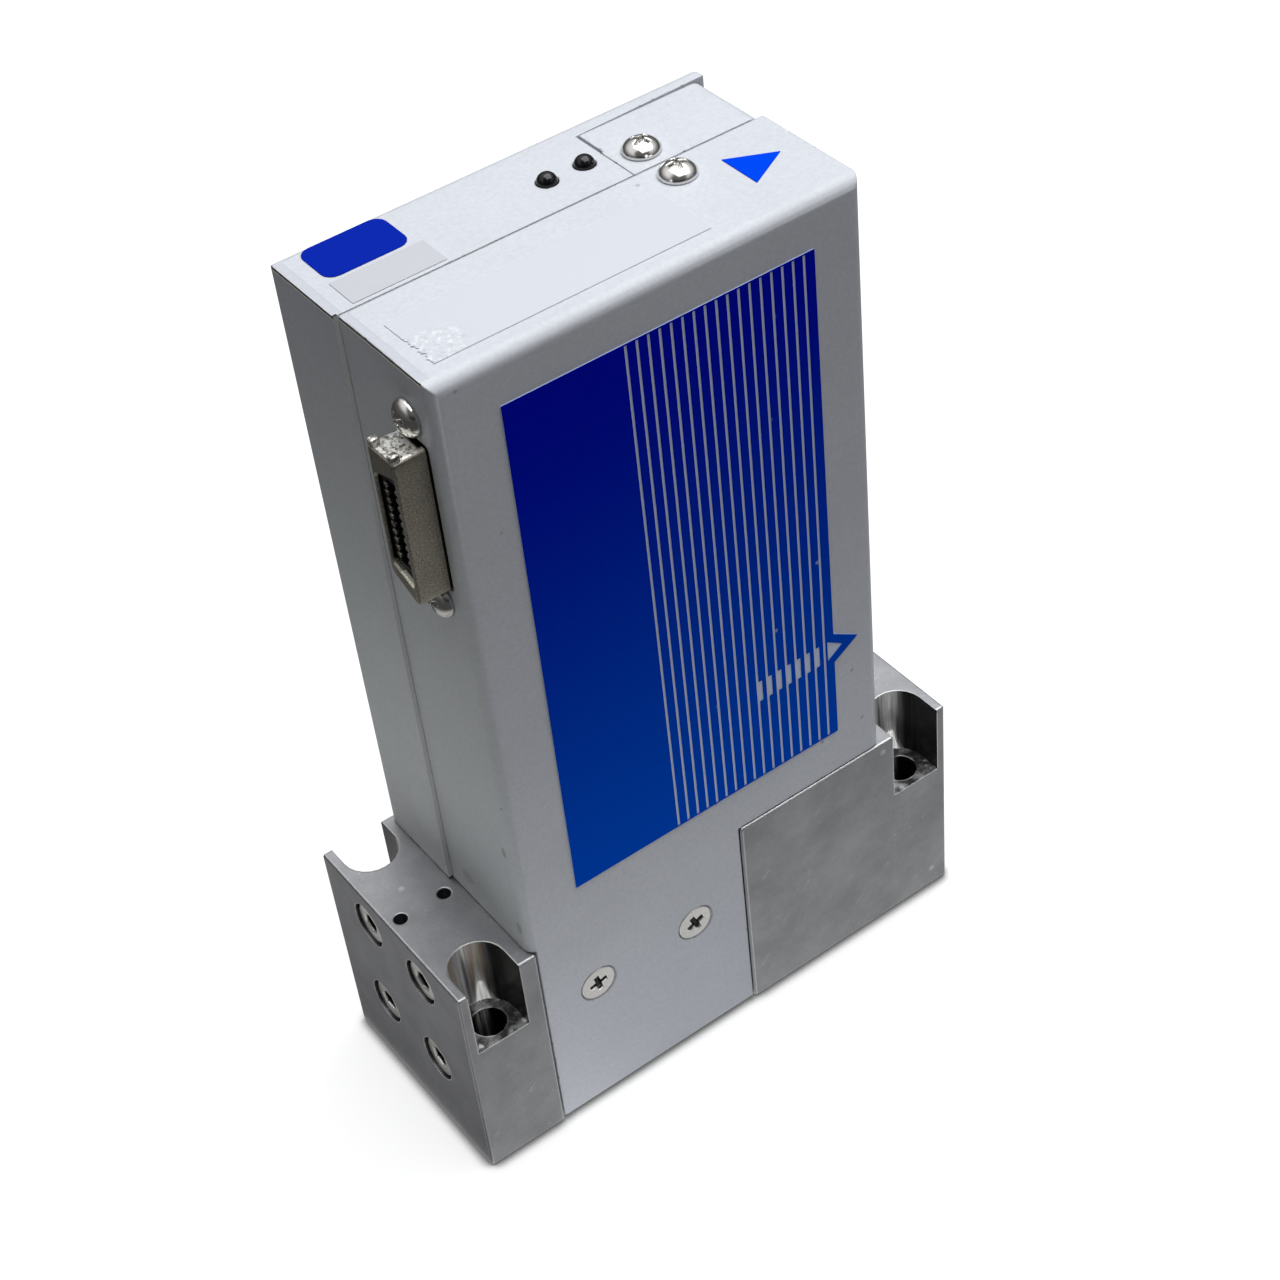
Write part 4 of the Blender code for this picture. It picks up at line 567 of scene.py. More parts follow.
@dataclass(frozen=True)
class Paint(Finish):
    """Sprayed paint with a fine grain, handling marks and chipped edges, and painted light and shade at its
    folds and its seam.

    Args:
        base: colour of the clean paint.
        roughness: its least roughness.
        chip: colour of the sheet under a chip.
        bare: colour of the lines that are left bare in the printed field.
        marks_and_highlights: handling marks, and a painted highlight, at their own places.
        left: place of the front and the rear cover's left sides.
        top: height of the covers.
        seam: place of the seam between them.
        straight: how far the top's left fold runs to the front and the rear.
        field: lower and upper limits along X and Z of the printed field.
        front: place of the front cover's face.
    """

    base: Colour
    roughness: float = 0.34
    chip: Colour = (0.06, 0.055, 0.05)
    bare: Colour = (0.76, 0.97, 1.0)
    marks_and_highlights: tuple[MarkOrHighlight, ...] = ()
    left: tuple[float, float] = (-33.2 * MM, -33.8 * MM)
    top: float = 141.8 * MM
    seam: float = 1.8 * MM
    straight: float = 17.2 * MM
    field: tuple[float, float, float, float] = (0.0, 0.0, 0.0, 0.0)
    front: float = -18.775 * MM

    def inputs(self, graph: Graph, effects: Effects) -> dict[str, Value]:
        """The paint with its marks, and painted light and shade at its folds and its seam."""
        place = graph.place()
        clouds = graph.noise(place, 70.0, 4.0, 0.6)
        base = graph.blend(graph.remap(clouds, 0.35, 0.75), self.base, tuple(c * 0.95 for c in self.base))
        base = graph.shaded(base, graph.remap(graph.noise(place, 1500.0, 3.0, 0.8), 0.25, 0.75, 0.92, 1.08))
        base = graph.tint(base, self.printed(graph, place), self.bare)
        dust = graph.mask(effects.specks, Place=place, Scale=640.0, Share=0.010)
        base = graph.tint(base, dust, (0.22, 0.22, 0.21), 0.45)
        wide, near = (graph.mask(effects.edges, Radius=radius * MM) for radius in (1.6, 0.4))
        # Handling marks, and a painted highlight on the edges at the front left top corner.
        for mark_or_highlight in self.marks_and_highlights:
            mark = graph.mask(effects.spot, Place=place, Centre=mark_or_highlight.centre, Size=mark_or_highlight.size)
            base = graph.tint(base, mark * near if mark_or_highlight.edges else mark, mark_or_highlight.colour, mark_or_highlight.strength)
        nicks = graph.mask(effects.specks, Place=place, Scale=760.0, Share=0.11)
        base = graph.tint(base, nicks * wide, (0.93, 0.94, 0.96), 0.75)
        worn = near * graph.ease(graph.noise(place, 620.0, 6.0, 0.75), 0.585, 0.62)
        base, normal = self.folds(graph, place, graph.tint(base, worn, self.chip, 0.8))
        rough = graph.remap(clouds, 0.3, 0.7, self.roughness, self.roughness + 0.08)
        return {"Base Color": base, "Roughness": rough, "Specular IOR Level": 0.35,
                "Normal": graph.bump(graph.noise(place, 1300.0, 3.0, 0.6), 0.10, 0.06 * MM, normal)}

    def printed(self, graph: Graph, place: Term) -> Term:
        """Where the paint shows between the printed lines."""
        x, y, z = graph.split(place)
        level = graph.between(x, *self.field[:2]) * graph.between(z, *self.field[2:])
        return level * (y < self.front + 0.1 * MM)

    def folds(self, graph: Graph, place: Term, base: Term) -> tuple[Term, Term]:
        """Paints light and shade where the sheet folds over at the left end of the top and at the seam on
        the left side, paints the left side lighter lower down, and darkens the paint towards the bottom.

        Args:
            graph: the material's graph.
            place: the point's place.
            base: colour of the paint so far.

        Returns:
            The colour and the normal.
        """
        x, y, z = graph.split(place)
        left, seam = self.left[0], self.seam
        inward = x - graph.remap(y > seam, 0.0, 1.0, *self.left)
        below = self.top - z
        on_top = below < 0.03 * MM
        strip = graph.between(inward, -0.5 * MM, 1.3 * MM) * on_top
        crease = graph.between(inward, 1.22 * MM, 1.38 * MM) * on_top
        on_side = (inward < 0.1 * MM) * graph.between(y, -self.straight, self.straight)
        edge = below + (graph.noise(place, 500.0, 3.0) - 0.5) * (0.35 * MM)
        gap = graph.between(edge, 0.05 * MM, 0.42 * MM) * on_side
        lip = graph.between(edge, 0.42 * MM, 0.66 * MM) * on_side
        on_flank = x < left + 0.01 * MM
        near_seam = (abs(y - seam) < 0.5 * MM) * on_flank
        step = graph.between(y, seam + 0.14 * MM, seam + 0.16 * MM) * on_flank
        arris = graph.between(y, seam + 0.16 * MM, seam + 0.32 * MM) * on_flank
        # Painted shade on the fold's strip, its crease and the gap below the top, and a painted highlight
        # along the lip.
        for mask, colour, strength in ((crease, (0.40, 0.41, 0.45), 0.25),
                                       (strip, (0.62, 0.63, 0.70), 0.35),
                                       (gap, (0.035, 0.03, 0.025), 0.9),
                                       (lip, (0.98, 0.95, 0.88), 1.0)):
            base = graph.tint(base, mask, colour, strength)
        # Painted light: the left side turns lighter, more so lower down.
        painted_flank_light = graph.ease(x, left + 1.5 * MM, left) * graph.remap(below, 0.0, 50.0 * MM, 0.1, 1.0)
        base = graph.tint(base, painted_flank_light, graph.blend(1.0, base, (1.10, 1.125, 1.065), "MULTIPLY"))
        base = graph.shaded(base, graph.remap(z, 0.0, 30.0 * MM, 0.90, 1.0))
        # Painted light: the seam's step wall is lit up white, and a painted highlight runs along the rear
        # cover's edge beside it.
        base = graph.tint(graph.tint(base, step, WHITE), arris, WHITE, 0.25)
        normal = graph.rounded(0.35 * MM)
        for mask, way in ((strip, (-0.22, 0.0, 0.975)), (lip, (-0.62, 0.0, 0.785)),
                          (near_seam, (-1.0, 0.0, 0.0)), (step, (-0.72, -0.69, 0.0))):
            normal = graph.steer(mask, normal, way)
        return base, normal


@dataclass(frozen=True)
class Plain(Finish):
    """Plastic, film or board with a fine uneven surface.

    Args:
        base: its colour.
        roughness: its middle roughness.
        second: the colour of its lighter or darker clouds, or None for a slightly darker base.
        scale: how fine the clouds are, in cycles a metre.
        bump: strength of the relief.
        gloss: level of the plain reflection.
    """

    base: Colour
    roughness: float
    second: Colour | None = None
    scale: float = 900.0
    bump: float = 0.05
    gloss: float = 0.5

    def inputs(self, graph: Graph, effects: Effects) -> dict[str, Value]:
        """Two colours in clouds, and a little relief."""
        noise = graph.noise(graph.place(), self.scale)
        other = self.second or tuple(c * 0.93 for c in self.base)
        return {"Base Color": graph.blend(graph.remap(noise, 0.35, 0.7), self.base, other),
                "Roughness": graph.remap(noise, 0.3, 0.7, self.roughness * 0.9, self.roughness * 1.1),
                "Specular IOR Level": self.gloss, "Normal": graph.bump(noise, self.bump, 0.03 * MM)}


@dataclass(frozen=True)
class Ink(Finish):
    """Flat printed ink that turns from one colour to another with height, with pale pinholes.

    Args:
        low: colour at the lower height.
        high: colour at the upper height.
        heights: the two heights.
        above: height over which the labels on the top have their own colours.
        deep: colour of the gas label.
        light: colour of the flow marker.
    """

    low: Colour
    high: Colour
    heights: tuple[float, float]
    above: float
    deep: Colour
    light: Colour

    def inputs(self, graph: Graph, effects: Effects) -> dict[str, Value]:
        """The ink with its pinholes."""
        place = graph.place()
        x, _, z = graph.split(place)
        base = graph.blend(graph.ease(z, *self.heights), self.low, self.high)
        base = graph.tint(base, z > self.above, graph.blend(x > 0.0, self.deep, self.light))
        pale = graph.mask(effects.specks, Place=place, Scale=620.0, Share=0.007)
        return {"Base Color": graph.tint(base, pale, (0.55, 0.62, 0.80), 0.55), "Roughness": 0.55,
                "Specular IOR Level": 0.0,
                "Normal": graph.bump(graph.noise(place, 1200.0, 2.0), 0.04, 0.03 * MM)}


@dataclass(frozen=True)
class ClearFilm(Finish):
    """Clear label film over paint, torn at a corner, with painted highlights and painted shade on its
    creases.

    Args:
        base: colour of the paint seen through it.
        torn: centre of the torn corner.
        reach: how far the creases go.
    """

    base: Colour
    torn: Point
    reach: Point

    def inputs(self, graph: Graph, effects: Effects) -> dict[str, Value]:
        """Painted highlights and painted shade on the creases round the torn corner, and a pale border."""
        place = graph.place()
        creased = graph.mask(effects.spot, Place=place, Centre=self.torn, Size=self.reach)
        folds = graph.noise(place, 1100.0, 5.0, 0.7)
        # Painted highlights on the creases' ridges and painted shade in their hollows.
        light = creased * graph.ease(folds, 0.52, 0.60)
        dark = creased * graph.ease(folds, 0.43, 0.38)
        base = graph.tint(self.base, dark, (0.40, 0.41, 0.42), 0.35)
        base = graph.tint(base, light, (0.90, 0.91, 0.93), 0.8)
        base = graph.tint(base, graph.mask(effects.edges, Radius=0.2 * MM), (0.60, 0.61, 0.64), 0.4)
        normal = graph.bump(folds * creased, 0.35, 0.1 * MM)
        return {"Base Color": base, "Roughness": 0.22, "Normal": normal}


@dataclass(frozen=True)
class DieCast(Metal):
    """Speckled plated die-cast metal: a rough end with painted glints, a socket painted black as shade and
    a foot painted dark as shadow.

    Args:
        rough_from: height from which the end is rough.
        mouth: place of the outer face along X.
        foot: place along X from which the foot lies in shadow.
        middle: middle of the socket along Y and Z.
        socket: half the socket's width and half its length.
        ramp: how far below the middle the socket's lower end slopes out.
    """

    rough_from: float = 0.0
    mouth: float = 0.0
    foot: float = 0.0
    middle: tuple[float, float] = (0.0, 0.0)
    socket: tuple[float, float] = (2.58 * MM, 9.1 * MM)
    ramp: float = 6.9 * MM

    def inputs(self, graph: Graph, effects: Effects) -> dict[str, Value]:
        """The cast metal, with painted shade inside the socket and painted shadow at the foot."""
        base, rough, _ = self.surface(graph, effects)
        place = graph.place()
        x, y, z = graph.split(place)
        fine = graph.noise(place, 4200.0, 2.0, 0.8)
        base = graph.tint(base, graph.remap(fine, 0.54, 0.66, 0.0, 0.7), (0.80, 0.75, 0.62))
        base = graph.tint(base, graph.remap(fine, 0.46, 0.36, 0.0, 0.6), (0.12, 0.11, 0.09))
        # Painted glints: the rough end's facets run from dark to white.
        end = graph.ease(z, self.rough_from - 0.10 * MM, self.rough_from)
        cells = graph.outs("TexVoronoi", {"Vector": place, "Scale": 2600.0, "Randomness": 1.0})
        tone = graph.out("SeparateColor", {0: cells["Color"]})
        sparkle = graph.blend(graph.remap(tone, 0.15, 0.7), (0.26, 0.24, 0.20), (1.0, 0.99, 0.95))
        base = graph.tint(base, end, sparkle)
        off_y = abs(y - self.middle[0])
        off_z = abs(z - self.middle[1])
        slope, inner = self.middle[1] - self.ramp, self.mouth + 0.30 * MM
        # Painted shade: the socket's walls turn black, and its sloped lower end dark grey.
        within = (off_y < self.socket[0]) * (off_z < self.socket[1]) * (z > slope)
        within = within * graph.remap(x, inner, self.mouth + 0.45 * MM)
        ramp = (off_y < self.socket[0] - SKIN) * (z < slope) * (x > inner)
        base = graph.tint(base, ramp, (0.09, 0.10, 0.085), 0.85)
        # Painted shadow: the foot by the cover turns black too.
        shade = graph.math("MAXIMUM", within, graph.remap(x, self.foot - 0.03 * MM, self.foot, 0.0, 0.93))
        relief = tone * end + fine * 0.35
        return {"Base Color": graph.tint(base, shade, (0.006, 0.006, 0.006)), "Metallic": 1.0,
                "Roughness": rough, "Normal": graph.bump(relief, 0.6, 0.09 * MM)}


@dataclass(frozen=True)
class ContactPlastic(Finish):
    """Black moulding whose marked points are worn contact metal.

    Args:
        metal: colour of the contacts.
    """

    metal: Colour = (0.52, 0.50, 0.44)

    def inputs(self, graph: Graph, effects: Effects) -> dict[str, Value]:
        """Black, and metal at the marks."""
        contact = graph.out("Attribute", output="Fac", attribute_name="sunk") > 0.5
        worn = graph.remap(graph.noise(graph.place(), 2600.0, 2.0), 0.42, 0.56, 0.25, 1.0)
        tone = graph.shaded(self.metal, worn)
        return {"Base Color": graph.blend(contact, (0.008, 0.008, 0.009), tone), "Metallic": contact * 0.8,
                "Roughness": 0.3}


# Meshes


@dataclass
class Shape:
    """Points and quads that become one mesh, and how far each point lies in a dark recess, up to 1."""

    points: np.ndarray
    quads: np.ndarray
    sunk: np.ndarray

    def plus(self, *others: Shape) -> Shape:
        """All the shapes as one."""
        shapes = (self, *others)
        starts = np.cumsum([0] + [len(one.points) for one in shapes[:-1]])
        return Shape(np.vstack([one.points for one in shapes]),
                     np.vstack([one.quads + start for one, start in zip(shapes, starts)]),
                     np.concatenate([one.sunk for one in shapes]))

    def aimed(self, facing: Facing, origin: Sequence[float], roll: float = 0.0) -> Shape:
        """The shape with its +Z turned to a direction, rolled, and moved to a place."""
        up = np.array(facing.value)
        first = np.cross((0.0, 1.0, 0.0) if abs(up[1]) < 0.5 else (0.0, 0.0, 1.0), up)
        second = np.cross(up, first)
        turn = math.radians(roll)
        x = math.cos(turn) * first + math.sin(turn) * second
        y = math.cos(turn) * second - math.sin(turn) * first
        return Shape(self.points @ np.stack([x, y, up]) + np.array(origin), self.quads, self.sunk)


def skin(rows: np.ndarray, closed: bool = True, sunk: float | np.ndarray = 0.0) -> Shape:
    """A skin over rows of points.

    Args:
        rows: the points, as rows by points by X, Y and Z.
        closed: whether each row is a ring.
        sunk: how far the points lie in a dark recess.

    Returns:
        The skin.
    """
    count, size = rows.shape[:2]
    row = np.arange(count - 1)[:, None]
    column = np.arange(size if closed else size - 1)[None, :]
    after = (column + 1) % size
    quads = np.stack([row * size + column, row * size + after, (row + 1) * size + after,
                      (row + 1) * size + column], axis=-1)
    return Shape(rows.reshape(-1, 3), quads.reshape(-1, 4), np.full(count * size, sunk, float))


def sleeve(rings: Sequence[tuple[np.ndarray, float]]) -> Shape:
    """A skin over outlines of Y and Z, each at its place along X."""
    return skin(np.stack([np.insert(outline, 0, x, axis=1) for outline, x in rings]))


def border(grid: np.ndarray) -> np.ndarray:
    """The points along the border of a grid, once round."""
    return np.concatenate([grid[:-1, 0], grid[-1, :-1], grid[:0:-1, -1], grid[0, :0:-1]])


def full_turn(steps: int) -> np.ndarray:
    """The angles of one full turn."""
    return np.linspace(0.0, 2.0 * math.pi, steps, endpoint=False)


def revolved(profile: Sequence[tuple[float | np.ndarray, float]], turns: int) -> np.ndarray:
    """Rings of radius r at height h: (r cos a, r sin a, h) for every angle a. r may differ with a."""
    angle = full_turn(turns)
    return np.stack([np.stack([r * np.cos(angle), r * np.sin(angle), np.full(turns, h)], -1)
                     for r, h in profile])


def rectangle(low: Sequence[float], high: Sequence[float]) -> Outline:
    """The four corners between the lowest and the highest one."""
    return [(low[0], low[1]), (high[0], low[1]), (high[0], high[1]), (low[0], high[1])]


def rounded_loop(corners: Sequence[Sequence[float]], radius: float, runs: int = 24,
                 steps: int = 8) -> np.ndarray:
    """A closed outline whose corners are curves between two points set back on the corner's sides.

    Args:
        corners: the sharp corners, in order.
        radius: how far the curve starts from the corner.
        runs: points on each side.
        steps: points on each corner.

    Returns:
        The points, the same number for every outline with as many corners.
    """
    points = np.array(corners)
    before = np.roll(points, 1, axis=0) - points
    after = np.roll(points, -1, axis=0) - points
    first = points + before / np.linalg.norm(before, axis=1, keepdims=True) * radius
    last = points + after / np.linalg.norm(after, axis=1, keepdims=True) * radius
    t = np.linspace(0.0, 1.0, steps)[None, :, None]
    curve = (1 - t) ** 2 * first[:, None] + 2 * t * (1 - t) * points[:, None] + t ** 2 * last[:, None]
    s = np.linspace(0.0, 1.0, runs + 2)[None, 1:-1, None]
    straight = (1 - s) * last[:, None] + s * np.roll(first, -1, axis=0)[:, None]
    return np.concatenate([curve, straight], axis=1).reshape(-1, 2)


def smoothstep(value: np.ndarray) -> np.ndarray:
    """Rises from 0 to 1 as 3t squared less 2t cubed."""
    t = np.clip(value, 0.0, 1.0)
    return t * t * (3.0 - 2.0 * t)


def squared_ball(centre: Point, half: Point, sunk: float = 0.0, power: float = 0.4) -> Shape:
    """A rounded block: a ball whose sines and cosines are raised to a power, which squares it off.

    Args:
        centre: its middle.
        half: its half lengths.
        sunk: its recess mark.
        power: 1 for a ball, and smaller for a squarer block.

    Returns:
        The block.
    """

    def squared(value: np.ndarray) -> np.ndarray:
        """Keeps the sign and raises the size to the power."""
        return np.sign(value) * np.abs(value) ** power

    across = np.linspace(-math.pi / 2, math.pi / 2, 13)[:, None]
    around = full_turn(24)[None, :]
    x = squared(np.cos(across)) * squared(np.cos(around))
    y = squared(np.cos(across)) * squared(np.sin(around))
    z = squared(np.sin(across)) * np.ones_like(around)
    return skin(np.stack([x, y, z], axis=-1) * np.array(half) + np.array(centre), sunk=sunk)


def box_of(node: str) -> tuple[np.ndarray, np.ndarray]:
    """The lowest and highest corner of a CAD node."""
    low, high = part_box(node)
    return np.array(low), np.array(high)


def seat_of(node: str, facing: Facing) -> np.ndarray:
    """The middle of the outer face of a node, on the side that it looks to."""
    low, high = box_of(node)
    way = np.array(facing.value)
    return np.where(way > 0, high, np.where(way < 0, low, (low + high) / 2))


def make_piece(name: str, shape: Shape, finishes: Materials, slot: str, nodes: Sequence[str]) -> None:
    """Makes a named piece that rides on the body and stands for its nodes.

    Args:
        name: the piece's name.
        shape: its points and quads, in place.
        finishes: the materials by slot.
        slot: the record's material slot.
        nodes: the CAD nodes that it stands for.
    """
    mesh = bpy.data.meshes.new(name)
    mesh.from_pydata(shape.points.tolist(), [], shape.quads.tolist())
    mesh.attributes.new("sunk", "FLOAT", "POINT").data.foreach_set("value", shape.sunk)
    body = bmesh.new()
    body.from_mesh(mesh)
    bmesh.ops.remove_doubles(body, verts=body.verts[:], dist=WELD_PIECE)
    bmesh.ops.dissolve_degenerate(body, edges=body.edges[:], dist=WELD_PIECE)
    bmesh.ops.recalc_face_normals(body, faces=body.faces[:])
    body.to_mesh(mesh)
    body.free()
    mesh.shade_smooth()
    mesh.set_sharp_from_angle(angle=math.radians(CRISP_PIECE))
    mesh.materials.append(finishes[slot])
    piece = bpy.data.objects.new(name, mesh)
    bpy.context.scene.collection.objects.link(piece)
    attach(piece, ROOT)
    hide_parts(*nodes)
    LOG.info("made %s", name)


# Finer pieces


@dataclass
class CrossScrew:
    """A screw with a cross recess and a pan or countersunk head, its outer end at the origin.

    Args:
        head: diameter of the head.
        height: height of the head.
        rim: height of the straight rim.
        length: length of the shank below the head.
        shank: diameter of the shank.
        domed: whether the head is a dome, or else flat and countersunk.
        reach: the recess's arms against the head's radius.
        arm: half an arm's width against the head's radius.
        depth: depth of the recess.
        shade: how dark the recess looks, up to 1.
        straight: how far out the grid stays straight, against the head's radius.
        crown: radius of the dome against the head's, and the power that its height goes by.
        ease: where the flat head starts to fall away, against its radius, and how far it falls.
        wall: how far the recess's walls run, against the head's radius.
        cone: height of the countersunk rim, against the head's.
        floor: how much shallower the recess gets at the ends of its arms.
    """

    head: float
    height: float
    rim: float
    length: float
    shank: float = 3.0 * MM
    domed: bool = True
    reach: float = 0.50
    arm: float = 0.13
    depth: float = 1.2 * MM
    shade: float = 1.0
    straight: float = 0.62
    crown: tuple[float, float] = (0.97, 0.62)
    ease: tuple[float, float] = (0.86, 0.06)
    wall: float = 0.05
    cone: float = 0.16
    floor: float = 0.45

    def shape(self) -> Shape:
        """A square grid pressed into a disc, with the cross sunk in it, over rings down to the tip.

        The grid's inner part stays straight, and turns into circles towards the rim. The dome's
        height falls with the square of the radius. The cross is where the smaller of |u| and |v| is
        under the arm and the larger is under the reach.
        """
        stops = (0.0, self.arm * 0.6, self.arm * 1.5, self.reach * 0.85, self.reach * 1.12, 1.0)
        counts = (3, 8, 5, 6, 8)
        runs = [np.linspace(*ends) for ends in zip(stops, stops[1:], counts)]
        half = np.concatenate([*(run[:-1] for run in runs[:-1]), runs[-1]])
        lines = np.concatenate([-half[:0:-1], half])
        u, v = np.meshgrid(lines, lines, indexing="ij")
        larger = np.maximum(np.abs(u), np.abs(v))
        smaller = np.minimum(np.abs(u), np.abs(v))
        turn = smoothstep((larger - self.straight) / (1.0 - self.straight))
        pull = 1.0 - turn + turn * larger / np.maximum(np.hypot(u, v), 1e-9)
        share = np.hypot(u * pull, v * pull)
        if self.domed:
            out, power = self.crown
            z = (self.height - self.rim) * (np.clip(1.0 - (share / out) ** 2, 0.0, 1.0) ** power - 1.0)
        else:
            out, fall = self.ease
            z = -fall * self.height * smoothstep((share - out) / (1.0 - out))
        sink = smoothstep(-np.maximum(smaller - self.arm, larger - self.reach) / self.wall)
        z = z - sink * self.depth * (1.0 - self.floor * larger / self.reach)
        flat = np.stack([u * pull, v * pull], axis=-1) * self.head / 2
        slim = self.shank / self.head
        under = -self.height
        tip = under - self.length if self.domed else -self.length
        edge = under if self.domed else under * self.cone
        steps = [(1.0, z[0, 0]), (1.0, edge), (slim, under), (slim, tip), (0.0, tip)]
        skirt = skin(np.stack([np.insert(border(flat) * k, 2, h, axis=1) for k, h in steps]))
        return skin(np.dstack([flat, z]), closed=False, sunk=(sink * self.shade).ravel()).plus(skirt)


@dataclass
class SocketScrew:
    """A low cylinder head with a hexagon socket, its outer end at the origin."""

    head: float = 7.0 * MM
    height: float = 2.6 * MM
    shank: float = 4.0 * MM
    hexagon: float = 3.0 * MM
    socket: float = 1.6 * MM
    soft: float = 0.22 * MM
    turns: int = 72

    def shape(self, length: float) -> Shape:
        """Rings from the socket's floor, over the head and down the shank.

        A hexagon's radius at angle a is its half width over the cosine of a's distance to the
        nearest flat's middle.

        Args:
            length: length of the shank below the head.

        Returns:
            The screw.
        """
        to_flat = (full_turn(self.turns) + math.pi / 6) % (math.pi / 3) - math.pi / 6
        flat = self.hexagon / 2 / np.cos(to_flat)
        outer, soft, shank = self.head / 2, self.soft, self.shank / 2
        tip = -self.height - length
        recess = [(0.0, -self.socket * 1.15), (flat * 0.9, -self.socket), (flat, -self.socket * 0.95),
                  (flat, -3 * soft)]
        head = [(flat, -soft), (flat + soft, 0.0), (outer - 2 * soft, 0.0),
                (outer - soft * 0.6, -soft * 0.4), (outer, -soft * 1.6), (outer, -self.height),
                (shank, -self.height), (shank, tip), (0.0, tip)]
        dark = np.arange(len(recess) + len(head)) < len(recess)
        return skin(revolved(recess + head, self.turns), sunk=np.repeat(dark, self.turns))


@dataclass
class Fasteners:
    """All screws that show, with their heads looking out."""

    pan: CrossScrew
    countersunk: CrossScrew
    socket: SocketScrew

    def build(self, finishes: Materials) -> None:
        """Makes every screw in place of its node."""
        places = [("top_screw_1", Facing.UP, 24.0, self.pan), ("top_screw_2", Facing.UP, -12.0, self.pan),
                  ("connector_screw_1", Facing.LEFT, 30.0, self.pan),
                  ("connector_screw_2", Facing.LEFT, 30.0, self.pan)]
        for index in (1, 2):
            places += [(f"front_cover_screw_{index}", Facing.FRONT, 12.0 * index, self.countersunk),
                       (f"rear_cover_screw_{index}", Facing.REAR, -12.0 * index, self.countersunk)]
        for node, facing, roll, screw in places:
            self.place(node, screw.shape(), facing, roll, finishes, "nickel_screw")
        for side, facing in (("inlet", Facing.LEFT), ("outlet", Facing.RIGHT)):
            for index in (1, 2, 3, 4):
                node = f"{side}_tie_screw_{index}"
                low, high = box_of(node)
                shape = self.socket.shape((high - low)[0] - self.socket.height)
                self.place(node, shape, facing, 14.0 * index, finishes, "screw_steel")

    @staticmethod
    def place(node: str, shape: Shape, facing: Facing, roll: float, finishes: Materials, slot: str) -> None:
        """Makes one screw on the outer face of its node."""
        shape = shape.aimed(facing, seat_of(node, facing), roll)
        make_piece(f"{node}_detailed", shape, finishes, slot, [node])


@dataclass
class Lamps:
    """Two black domed lamps on flanges, each with two leads bent back to the board."""

    diameter: float = 3.0 * MM
    flange: float = 3.8 * MM
    body: float = 4.8 * MM
    lead: float = 0.5 * MM
    spread: float = 1.0 * MM
    soft: float = 0.1 * MM
    turns: int = 56

    def build(self, finishes: Materials) -> None:
        """Makes both lamps: a cylinder under a half ball, on a flange, with two bent leads."""
        radius, flange = self.diameter / 2, self.flange / 2
        arc = np.radians(np.linspace(0.0, 90.0, 14))
        dome = zip(radius * np.cos(arc), self.body - radius * (1.0 - np.sin(arc)))
        rise = radius / 2
        profile = [(0.0, 0.0), (flange, 0.0), (flange, rise - self.soft), (flange - self.soft, rise),
                   (radius, rise), *dome]
        for index in (1, 2):
            node = f"lamp_{index}"
            low, high = box_of(node)
            x, y, base = (low[0] + high[0]) / 2, low[1] + flange, high[2] - self.body
            leads = (self.bent_lead((x + side * self.spread, y, base), high[1], low[2])
                     for side in (-1.0, 1.0))
            shape = skin(revolved(profile, self.turns)).aimed(Facing.UP, (x, y, base)).plus(*leads)
            make_piece(f"{node}_detailed", shape, finishes, "lamp_lens", [node])

    def bent_lead(self, top: Point, back: float, bottom: float) -> Shape:
        """A square wire carried down from the lamp and back to the board.

        Args:
            top: where it leaves the lamp.
            back: Y of its far end.
            bottom: Z of its lower side.

        Returns:
            The wire.
        """
        half = self.lead / 2
        wide, deep = np.array(rectangle((-half, -half), (half, half))).T
        x, y, z = top
        level = bottom + half
        path = ((y, z + 2 * half, 1.0, 0.0), (y, level, 1.0, 1.0), (back, level, 0.0, 1.0))
        rings = [np.stack([x + wide, along_y + deep * lean_y, along_z + deep * lean_z], -1)
                 for along_y, along_z, lean_y, lean_z in path]
        start, end = (np.repeat(ring.mean(axis=0)[None], 4, axis=0) for ring in (rings[0], rings[-1]))
        return skin(np.stack([start, *rings, end]))


